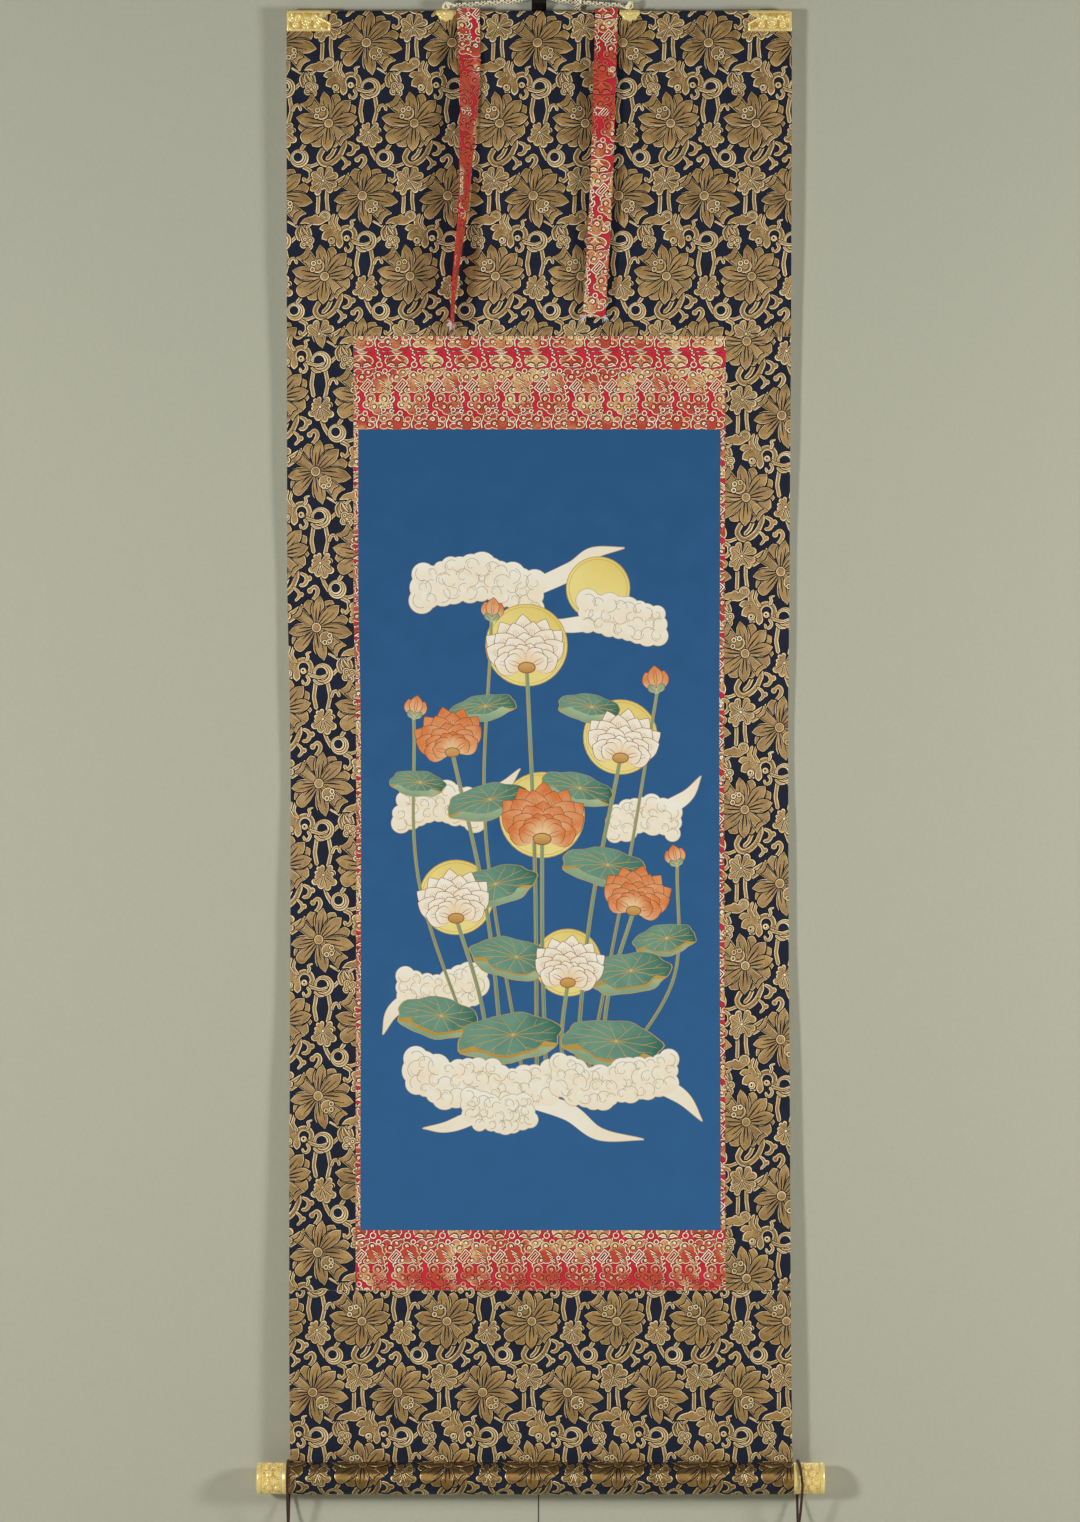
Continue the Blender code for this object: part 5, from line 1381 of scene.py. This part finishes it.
def painted_leaf(centre, across, high, turn):
    """A round lotus leaf, seen aslant, with its rim turned over in front and gold veins from its heart."""
    angles = np.linspace(0, 2 * np.pi, LEAF_POINTS, endpoint=False)
    wave = 1 + 0.045 * np.sin(6 * angles + turn) + 0.02 * np.sin(11 * angles)
    round_it = zip(across * wave * np.cos(angles), high * wave * np.sin(angles))
    rim = np.array(on_axis(centre, turn, round_it))
    heart = on_axis(centre, turn, [(0.08 * across, 0.12 * high)])[0]
    middle = np.array(heart)
    paint("gold_line", middle + (rim - middle) * 1.025, heart, tuple(rim[11]))
    paint("leaf", rim, heart, tuple(rim[0]))
    for k in range(0, LEAF_POINTS, 4):
        vein = [heart, middle * 0.5 + rim[k] * 0.5 + (0.6, 0.8), middle * 0.08 + rim[k] * 0.92]
        paint("gold_line", stroke(vein, 0.6, ends=(1.0, 0.5), step=3.0))
        fork = [middle * 0.45 + rim[k] * 0.55, middle * 0.1 + rim[k + 2] * 0.9]
        paint("gold_line", stroke(fork, 0.5, ends=(1.0, 0.4), step=3.0))
    lip = np.concatenate((rim[24:42], (middle * 0.3 + rim[24:42] * 0.7)[::-1] - (0, 0.5)))
    paint("gold_line", lip, heart, tuple(rim[33]))
    inner = np.concatenate((rim[25:41], (middle * 0.34 + rim[25:41] * 0.68)[::-1]))
    paint("under_leaf", inner, heart, tuple(rim[33]))
    paint("gold_line", disc(heart, 2.0, 12))
    paint("under_leaf", disc(heart, 1.3, 12))


def painted_stem(path, width=3.4):
    paint("gold_line", stroke(path, width, 0.5))
    paint("stem", stroke(path, width), path[0], path[-1])
    paint("gold_line", stroke([(x - width * 0.18, y) for x, y in path], 0.5, step=4.0))


LOTUSES = (
    # centre, size, petal colour, lean, disc radius, foot of the stem
    ((-14, 176), 58, "petal", 4, 44, (-4, -262)),
    ((-96, 84), 50, "orange_petal", 12, 0, (-40, -262)),
    ((88, 78), 54, "petal", -10, 40, (38, -262)),
    ((2, -10), 62, "orange_petal", -2, 46, (6, -262)),
    ((-92, -96), 54, "petal", 8, 40, (-52, -270)),
    ((102, -88), 50, "orange_petal", -12, 0, (66, -270)),
    ((30, -166), 52, "petal", -6, 36, (26, -280)),
)
painted_cloud(((-128, 262), (-84, 274), (-40, 268), (-6, 254)), 19, 2.0,
              ((-6, 262), (36, 282), (58, 300), (92, 306)))
painted_disc((64, 262), 34)
painted_cloud(((52, 236), (88, 230), (128, 222)), 17, 5.0, ((66, 226), (24, 222), (-2, 232)))
painted_cloud(((-150, 20), (-112, 30), (-70, 22)), 16, 8.0, ((-84, 30), (-44, 44), (-22, 66)))
painted_cloud(((84, 8), (124, 18), (146, 8)), 16, 11.0, ((128, 18), (160, 36), (176, 58)))
painted_cloud(((-146, -170), (-110, -176), (-70, -168)), 17, 14.0, ((-128, -176), (-160, -196), (-172, -222)))
for centre, size, kind, lean, ring, foot in LOTUSES:
    if ring:
        painted_disc((centre[0], centre[1] + size * 0.42), ring)
for centre, size, kind, lean, ring, foot in LOTUSES:
    painted_stem((foot, ((foot[0] + centre[0]) / 2 + lean * 0.8, (foot[1] + centre[1]) / 2), centre))
for foot, middle, top in (((-20, -262), (-60, 0), (-52, 226)), ((52, -262), (96, -40), (128, 148)),
                          ((-64, -262), (-132, -60), (-138, 120)), ((84, -262), (146, -160), (150, -40))):
    painted_stem((foot, middle, top), 2.6)
for centre, size, lean in (((-52, 226), 26, -6), ((128, 148), 30, 6), ((-138, 120), 26, -10),
                           ((150, -40), 24, 12)):
    painted_bud(centre, size, lean)
for centre, across, high, turn in (
    ((54, 132), 34, 15, -8), ((-62, 132), 36, 14, 10), ((40, 44), 40, 17, -14), ((-58, 30), 44, 19, 12),
    ((-134, 50), 30, 14, -6), ((70, -40), 46, 20, -8), ((-52, -62), 48, 21, 14), ((136, -120), 34, 17, 10),
    ((-30, -140), 46, 22, -10), ((96, -156), 46, 22, 8), ((-112, -204), 44, 22, -8),
):
    painted_leaf(centre, across, high, turn)
for centre, size, kind, lean, ring, foot in sorted(LOTUSES, key=lambda row: -row[0][1]):
    painted_lotus(centre, size, kind, lean)
for centre, across, high, turn in (((-34, -226), 56, 26, 6), ((78, -232), 54, 25, -6)):
    painted_leaf(centre, across, high, turn)
painted_cloud(((-136, -262), (-104, -276), (-66, -270), (-30, -282), (8, -274)), 19, 17.0,
              ((-20, -290), (30, -306), (64, -330), (112, -336)))
painted_cloud(((20, -266), (58, -280), (98, -272), (140, -262)), 18, 23.0,
              ((120, -272), (154, -290), (176, -316)))
painted_cloud(((-80, -300), (-46, -310), (-12, -304)), 15, 29.0, ((-60, -306), (-100, -322), (-128, -324)))


def painted_picture():
    """The picture as a flat closed slab, with the tint of each wash kept at its corners."""
    half = np.array((ART_WIDTH / 2, ART_HEIGHT / 2))
    # Loose points about 20 mm apart let the plain ground bend as the cloth hangs.
    grid = [(x, y) for x in np.linspace(-half[0], half[0], 21) for y in np.linspace(-half[1], half[1], 45)]
    verts, cells, top = cut_along(half, [outline for _, outline, *_ in art], grid)
    bm = bmesh.new()
    tint = bm.loops.layers.float.new("tint")
    middle_drop = UPPER_BAND_DROP + GAP / 2 + half[1]
    made = [bm.verts.new((x + INNER_SHIFT, y - middle_drop, CLOTH / 2)) for x, y in verts]
    ground = ("ground", None, (0, -half[1]), (0, half[1]))
    for cell, number in zip(cells, top):
        kind, _, root, tip = art[number] if number >= 0 else ground
        face = bm.faces.new([made[k] for k in cell])
        face.material_index = ART_KINDS.index(kind)
        if root is not None and tip is not None:
            way = np.subtract(tip, root)
            for corner, k in zip(face.loops, cell):
                share = float(np.dot(verts[k] - root, way) / np.dot(way, way))
                corner[tint] = min(max(share, 0.0), 1.0)
    bmesh.ops.delete(bm, geom=[v for v in bm.verts if not v.link_faces], context="VERTS")
    return closed_slab(bm, ART_KINDS.index("paper"), (), (UPPER_BAND_DROP, ART_DROP, ART_LEFT, ART_RIGHT))


UNEVENNESS = 0.36


def wash(name, first, last, grain):
    """Mineral pigment in glue on silk: quite matt, worked from one shade to another, a little uneven."""
    paint_layer, shader, cut, rib = woven_material(name, first, last, 0.8 * MM, roughness=0.85, depth=0.04,
                                                   Specular_IOR_Level=0.25)
    share = add_node(paint_layer, "ShaderNodeAttribute", attribute_name="tint").outputs["Fac"]
    uneven = noise_of(paint_layer, cut, grain, detail=4.0)
    total = combined(paint_layer, "ADD", share, combined(paint_layer, "MULTIPLY", uneven, UNEVENNESS))
    tone = blended(paint_layer, spread(paint_layer, total, 0.1, 1.2), first, last)
    weave = spread(paint_layer, rib, 0.0, 1.0, 0.93, 1.0)
    shade = add_node(paint_layer, "ShaderNodeCombineColor", {0: weave, 1: weave, 2: weave}).outputs[0]
    link(paint_layer, blended(paint_layer, 1.0, tone, shade, "MULTIPLY"), shader, "Base Color")
    return paint_layer


art_materials = [
    wash("blue_ground_on_silk", "2d6293", "265785", 30), wash("white_cloud_wash", "f3e3c4", "f4f1e2", 26),
    wash("grey_ink_line", "b3a184", "a89a80", 60), wash("pale_yellow_disc", "f0de8c", "e6cf72", 34),
    wash("gold_paint_line", "c9a24e", "b88f3e", 60), wash("cream_petal_wash", "efcf9c", "f6f0de", 50),
    wash("orange_petal_wash", "f1d3a0", "dd7a3c", 50), wash("brown_petal_line", "9a6038", "80482a", 60),
    wash("green_leaf_wash", "6f9a84", "2f6a5a", 40), wash("pale_green_wash", "b9c79a", "86a585", 40),
    wash("stem_green_wash", "5d8a74", "7fa283", 40), wash("ochre_wash", "c08a4a", "d6ab63", 40), paper,
]
picture = laid("painted_picture", painted_picture(), cloth_place, art_materials, "picture")


# Gilt fittings: brass sheet, chased with scrolls on a punched ground, fire-gilt and burnished on the high
# parts. Two swallow-tailed corner plates and two half-chrysanthemum ring seats are bent over the stave.
PLATE = 0.8
CORNER_LENGTH, CORNER_DROP, NOTCH_DEPTH, NOTCH_HEIGHT, NOTCH_DROP = 47.5, 22.6, 10, 12, 8.4
SEAT_WIDTH, SEAT_DROP, SEAT_X = 22.5, 11.2, (-101, 98.5)
NOTCH_RIM = 1.8
GILT_KINDS = ("ground", "slope", "raised", "crest", "back")
GILT_LIFTS = (0, 0, 0.34, 0.5)
CHASED = (("slope", 0.5), ("raised", 0.05), ("crest", -0.3))


def gilding(name, light, dark, roughness, grain_depth, punched=False):
    """Fire-gilt brass: a warm metal that drifts between two shades, and where it is punched it is covered
    with rings 1.3 mm apart."""
    metal, shader = new_material(name, Metallic=0.28, Roughness=roughness)
    place = object_place(metal)
    tone = blended(metal, noise_of(metal, place, 420, detail=3.0), dark, light)
    grain = noise_of(metal, place, 2400, detail=2.0)
    if punched:
        rings = add_node(metal, "ShaderNodeTexVoronoi", {"Vector": place, "Scale": 1 / (1.3 * MM)})
        grain = spread(metal, rings.outputs["Distance"], 0.1, 0.5)
        tone = blended(metal, grain, dark, tone)
    link(metal, tone, shader, "Base Color")
    raise_by(metal, shader, grain, 0.4, grain_depth)
    return metal


gilt = gilding("fire_gilt_brass", "fff0ac", "fbd878", 0.3, 0.05)
punched = gilding("punched_gilt_ground", "f0cc70", "c2924a", 0.45, 0.2, punched=True)
gilt_materials = [punched, gilt, gilt, gilt, gilt]


def chased(shape, *sizes, **settings):
    return bound(shape, *sizes, binding=CHASED, **settings)


def chased_disc(centre, radius, sides):
    return bound_disc(centre, radius, CHASED, sides)


def bead(centre, radius):
    return bound_disc(centre, radius, CHASED, 8, share=0.6)


def curl(centre, radius, start, sweep, width):
    """A tendril that turns in on itself, with a round end."""
    shapes = chased(stroke, arc_points(centre, radius, start, start + sweep, 12, 0.62), width)
    return shapes + chased_disc(centre, radius * 0.3, 12)


def plate_path(front_drop, back_drop):
    outline = stave_outline(GAP + CLOTH + GAP + PLATE / 2)
    outline = outline[outline[:, 1] > TOP_EDGE - back_drop]
    return np.concatenate(([(outline[0, 0], TOP_EDGE - front_drop)], outline))


def bent_over(path, left):
    """A plate's way from flat, with x from its left end and y up from its front foot, to over the stave."""
    lengths, heading = path_lengths(path), np.gradient(path, axis=0)
    heading /= np.linalg.norm(heading, axis=1)[:, None]

    def place(x, drop, lift):
        y, z, ty, tz = (np.interp(-drop, lengths, table) for table in (*path.T, *heading.T))
        return np.stack((left + x, y - tz * lift, z + ty * lift), axis=1) * MM
    return place


def gilt_plate(name, shapes, width, path, left):
    """A chased plate: its flat relief, closed at the back, bent over the stave."""
    length = path_lengths(path)[-1]
    half = np.array((width / 2, length / 2))
    bm = relief(half, [(kind, outline - half) for kind, outline in shapes], GILT_KINDS, GILT_LIFTS)
    bmesh.ops.translate(bm, verts=bm.verts, vec=(*half, PLATE / 2))
    bends = -np.arange(CORNER_DROP - 9, length, 1.2)
    bm = closed_slab(bm, GILT_KINDS.index("back"), bends, (-length, 0, 0, width), PLATE)
    laid(name + "_chased", bm, bent_over(path, left), gilt_materials, name, 50)


def corner_shapes(inward):
    """The work on a corner plate: a border, a flower in the middle, and scrolls at each side of it. Its
    swallow tail is cut into the end that lies inward, 1 to the right or -1 to the left."""
    top = CORNER_DROP - 1.4
    ends = (0.3, CORNER_LENGTH - 0.3)
    shapes = []
    for x0, y0, x1, y1 in ((ends[0], 1.2, ends[1], 1.2), (ends[0], top, ends[1], top),
                           (1.3, 1.2, 1.3, top), (CORNER_LENGTH - 1.3, 1.2, CORNER_LENGTH - 1.3, top)):
        shapes += chased(stroke, ((x0, y0), (x1, y1)), 1.7)
    middle = ((CORNER_LENGTH - 5 * inward) / 2, (top + 1.2) / 2)
    for k in range(8):
        shapes += chased(petal, middle, 45 * k + 22.5, 5.0, 3.0, "round")
    shapes += chased_disc(middle, 1.5, 12)
    for side in (-1, 1):
        x = middle[0] + side * 8.6
        shapes += curl((x, middle[1] + 3.4), 3.9, -90, side * 400, 1.5)
        shapes += curl((x + side * 2.4, middle[1] - 4.4), 3.4, 90, -side * 400, 1.4)
        shapes += curl((x + side * 8.0, middle[1] + 1.6), 3.3, 180, side * 380, 1.4)
        for place, angle, reach in (
            ((x - side * 3.6, middle[1] - 5.8), 200, 4.6), ((x + side * 5.0, 16.4), 40, 4.4),
            ((x + side * 6.4, 4.4), -30, 4.8), ((x + side * 1.0, middle[1] - 0.4), 90, 3.6),
        ):
            turn = angle if side > 0 else 180 - angle
            shapes += chased(petal, place, turn, reach, 2.4, "pointed")
    tip, past = ((CORNER_LENGTH - NOTCH_DEPTH, CORNER_LENGTH + 1) if inward > 0 else (NOTCH_DEPTH, -1))
    height = CORNER_DROP - NOTCH_DROP
    for kind, grow in (*CHASED, ("gone", -NOTCH_RIM)):
        open_half = NOTCH_HEIGHT / 2 + grow + NOTCH_RIM + 0.3
        notch = ((tip - inward * (grow + NOTCH_RIM) * 2, height), (past, height + open_half),
                 (past, height - open_half))
        shapes.append((kind, np.array(notch)))
    return shapes


corner_path = plate_path(CORNER_DROP, 19)
corner_ends = hang(np.array((-HALF, HALF)), np.zeros(2))[:, 0]
for name, left, inward in (("left_corner_plate", corner_ends[0] + GAP, 1),
                           ("right_corner_plate", corner_ends[1] - GAP - CORNER_LENGTH, -1)):
    gilt_plate(name, corner_shapes(inward), CORNER_LENGTH, corner_path, left)


def seat_shapes(length):
    """Five broad petals from the middle of the top edge, a beaded boss over them, and a plain back."""
    wide = SEAT_WIDTH + 2
    middle = np.array((wide / 2, SEAT_DROP + 2))
    turns = np.linspace(0, -np.pi, 61)
    scallop = 0.88 + 0.12 * np.abs(np.sin(5 * turns))
    rim = np.stack((SEAT_WIDTH / 2 * 1.04 * scallop * np.cos(turns),
                    SEAT_DROP * 1.08 * scallop * np.sin(turns)), axis=1)
    back = (rim * (1, -1))[::-1] + (0, length - 2 * middle[1] + 2.0)
    outline = np.concatenate((rim, back)) + middle
    shapes = [("gone", np.array(((0, 0), (wide, 0), (wide, length), (0, length)))), ("slope", outline),
              ("raised", (outline - middle) * (0.975, 0.97) + middle),
              ("ground", (rim * 0.86) + middle - (0, 0.4))]
    for k in range(5):
        shapes += chased(petal, middle - (0, 0.6), -18 - 36 * k, 9.4, 5.4, "round")
    shapes += chased_disc(middle - (0, 1.6), 3.0, 16)
    for place in arc_points(middle - (0, 1.6), 4.6, -170, -10, 7):
        shapes += bead(place, 0.75)
    return shapes


seat_path = plate_path(SEAT_DROP + 2, SEAT_DROP + 2)
for name, x in zip(("left_ring_seat", "right_ring_seat"), SEAT_X):
    shapes = seat_shapes(path_lengths(seat_path)[-1])
    gilt_plate(name, shapes, SEAT_WIDTH + 2, seat_path, x - SEAT_WIDTH / 2 - 1)
for node in ("left_ring", "right_ring"):
    refinish(node, gilt)

# Roller knobs: cast brass, gilt, with a plain band, a drum chased with scrolls and bosses, a groove and a
# rounded rim. Each is pushed on a tenon at the roller's end. Its profile runs outward along the roller.
KNOB_RADIUS, KNOB_LENGTH, TENON_RADIUS, TENON_LENGTH = 17, 33.6, 7, 14
KNOB_X = {"left": -272.0, "right": 275.6}
DRUM_START, DRUM_END = 6.6, KNOB_LENGTH - 5.9
DRUM_CORE = KNOB_RADIUS - 0.55
DRUM_REPEATS, DRUM_FACET = 6, 2.0


def drum_work(cell):
    """One repeat of the drum: a boss in a wreath of curls, leaves between, and a fine border."""
    wide, high = cell
    shapes = []
    for y in (-high / 2 + 0.7, high / 2 - 0.7):
        shapes += chased(stroke, ((-wide / 2 - 1, y), (wide / 2 + 1, y)), 0.9)
    shapes += chased_disc((0, -2.4), 2.8, 16)
    for place in arc_points((0, -2.4), 4.3, 0, 360, 9)[:-1]:
        shapes += bead(place, 0.8)
    shapes += curl((wide / 2, 3.6), 3.6, 200, 420, 1.3) + curl((wide / 2 - 0.4, -5.4), 3.0, 20, -420, 1.2)
    shapes += curl((-2.6, 6.0), 2.6, -60, 400, 1.1) + curl((3.4, 5.2), 2.2, 240, -400, 1.1)
    for place, angle, reach in (((-4.8, 1.6), 130, 4.6), ((4.8, 1.6), 50, 4.6), ((-5.2, -6.4), 230, 4.0),
                                ((5.0, -6.8), -40, 4.0), ((0.2, 1.6), 90, 3.0), ((0, -7.6), -90, 2.4)):
        shapes += chased(petal, place, angle, reach, 2.2, "pointed")
    return shapes


drum_cell = (2 * math.pi * KNOB_RADIUS / DRUM_REPEATS, DRUM_END - DRUM_START)
drum_repeat = woven_repeat(drum_cell, drum_work(drum_cell), GILT_KINDS, GILT_LIFTS)
socket, depth, rim = TENON_RADIUS + GAP, TENON_LENGTH + 2 * GAP, KNOB_LENGTH - 5
KNOB_PROFILE = (
    (depth, 0), (depth, socket), (0.4, socket), (0, socket + 0.4), (0, 16.4), (0.5, 17), (5.2, 17),
    (5.6, 16.7), (5.9, 16.1), (6.2, 16.2), (DRUM_START, DRUM_CORE), (DRUM_END, DRUM_CORE), (rim - 0.7, 16.9),
    (rim - 0.4, 16.2), (rim, 15.9), (rim + 0.4, 16.2), (rim + 0.8, 16.8), (rim + 1.6, 17), (32.0, 16.9),
    (32.9, 16.5), (33.4, 15.8), (33.6, 14.9), (33.4, 14.2), (32.8, 13.6), (32.7, 9.0), (33.0, 7.6),
    (33.4, 5.2), (33.6, 2.4), (33.6, 0),
)
for side, outward in (("left", -1), ("right", 1)):
    core = bmesh.new()
    rail = [core.verts.new((along, radius, 0)) for along, radius in KNOB_PROFILE]
    for a, b in zip(rail, rail[1:]):
        core.edges.new((a, b))
    bmesh.ops.spin(core, geom=[*core.verts, *core.edges], cent=(0, 0, 0), axis=(1, 0, 0), angle=2 * math.pi,
                   steps=72, use_merge=True, use_duplicate=False)
    bmesh.ops.remove_doubles(core, verts=core.verts, dist=1e-3)
    for face in core.faces:
        face.material_index = GILT_KINDS.index("back")
    sleeve = woven_piece(drum_repeat, drum_cell, (0, 0),
                         (-math.pi * KNOB_RADIUS, math.pi * KNOB_RADIUS, -drum_cell[1] / 2, drum_cell[1] / 2),
                         GILT_KINDS, back="back")
    cut_all(sleeve, sleeve.faces[:], [((x, 0, 0), (1, 0, 0)) for x in np.arange(-52, 53, DRUM_FACET)])
    for vert in sleeve.verts:
        turn = vert.co.x / KNOB_RADIUS - math.pi / 2
        reach = DRUM_CORE + vert.co.z - CLOTH / 2
        vert.co = (DRUM_START + DRUM_END) / 2 + vert.co.y, reach * math.sin(turn), reach * math.cos(turn)
    knob = joined_above(core, sleeve)
    bmesh.ops.scale(knob, verts=knob.verts, vec=(outward * MM, MM, MM))
    bmesh.ops.translate(knob, verts=knob.verts, vec=(KNOB_X[side] * MM, ROLLER_Y * MM, ROLLER_Z * MM))
    bmesh.ops.recalc_face_normals(knob, faces=knob.faces)
    dress(to_object(side + "_knob_chased", knob, gilt_materials, 40), side + "_knob")


# Stave and roller: planed cedar with a straight grain along each rod. Hook: a cast iron strap, black.
def cedar():
    """Planed cedar: pale, straight-grained, with darker lines 1 to 2 mm apart along the rod, no gloss."""
    wood, shader = new_material("planed_cedar", Roughness=0.7, Specular_IOR_Level=0.3)
    place = object_place(wood)
    long_grain = add_node(wood, "ShaderNodeMapping", {"Vector": place, "Scale": (14, 620, 620)}).outputs[0]
    rings = noise_of(wood, long_grain, 1, detail=4.0)
    link(wood, blended(wood, rings, "a87c50", "cfa878"), shader, "Base Color")
    raise_by(wood, shader, rings, 0.3, 0.1)
    return wood


def blackened_iron():
    """Cast iron under baked black lacquer: satin, with a fine pitted skin and a few worn patches."""
    iron, shader = new_material("black_lacquered_iron", Roughness=0.32, Coat_Weight=0.4, Coat_Roughness=0.2)
    place = object_place(iron)
    pits = noise_of(iron, place, 700, detail=4.0)
    link(iron, blended(iron, noise_of(iron, place, 90, low=0.55, high=0.75), "0b0b0d", "26241f"), shader,
         "Base Color")
    raise_by(iron, shader, pits, 0.3, 0.12)
    return iron


wood, iron = cedar(), blackened_iron()
for node, material in (("stave", wood), ("roller", wood), ("hook", iron)):
    refinish(node, material)

# Tufts: floss silk sewn through the ribbons' lower corners and cut short, so that its ends stand apart.
floss = [twisted_silk("white_floss_silk", "ffffff", "e8e4dc"),
         twisted_silk("pink_floss_silk", "f0a8a0", "d4605c")]
TUFT_THREADS, FLOSS_RADIUS = 18, 0.26 * MM
drawn = random.Random(11)
for side, leans in (("left", ((-0.55, -0.2, -0.5), (0.1, -0.2, -0.9))),
                    ("right", ((-0.7, -0.3, -0.35), (0.55, -0.3, -0.55)))):
    for corner, lean, head in zip(("outer", "inner"), leans, ribbon_ends[side]):
        lines, picks = [], []
        for k in range(TUFT_THREADS):
            spread = Vector([drawn.uniform(-1, 1) for _ in range(3)]) * 0.85
            heading = (Vector(lean) + spread).normalized()
            heading.y = min(heading.y, 0.25)
            droop = Vector((0, 0, -1)) * drawn.uniform(0.1, 0.7)
            reach = drawn.uniform(3, 6.5) * MM
            root = head + Vector([drawn.uniform(-0.8, 0.8) for _ in range(3)]) * MM
            lines.append([root + (heading * t + droop * t * t) * reach for t in np.linspace(0, 1, 7)])
            picks.append(1 if side == "left" and corner == "inner" and k % 3 else 0)
        node = f"{side}_tuft_{corner}"
        dress(strands_object(node + "_floss", lines, FLOSS_RADIUS, floss, picks, sides=0), node)


size = {"model": [list(corner) for corner in model_box], "visual": [list(corner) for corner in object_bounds()]}
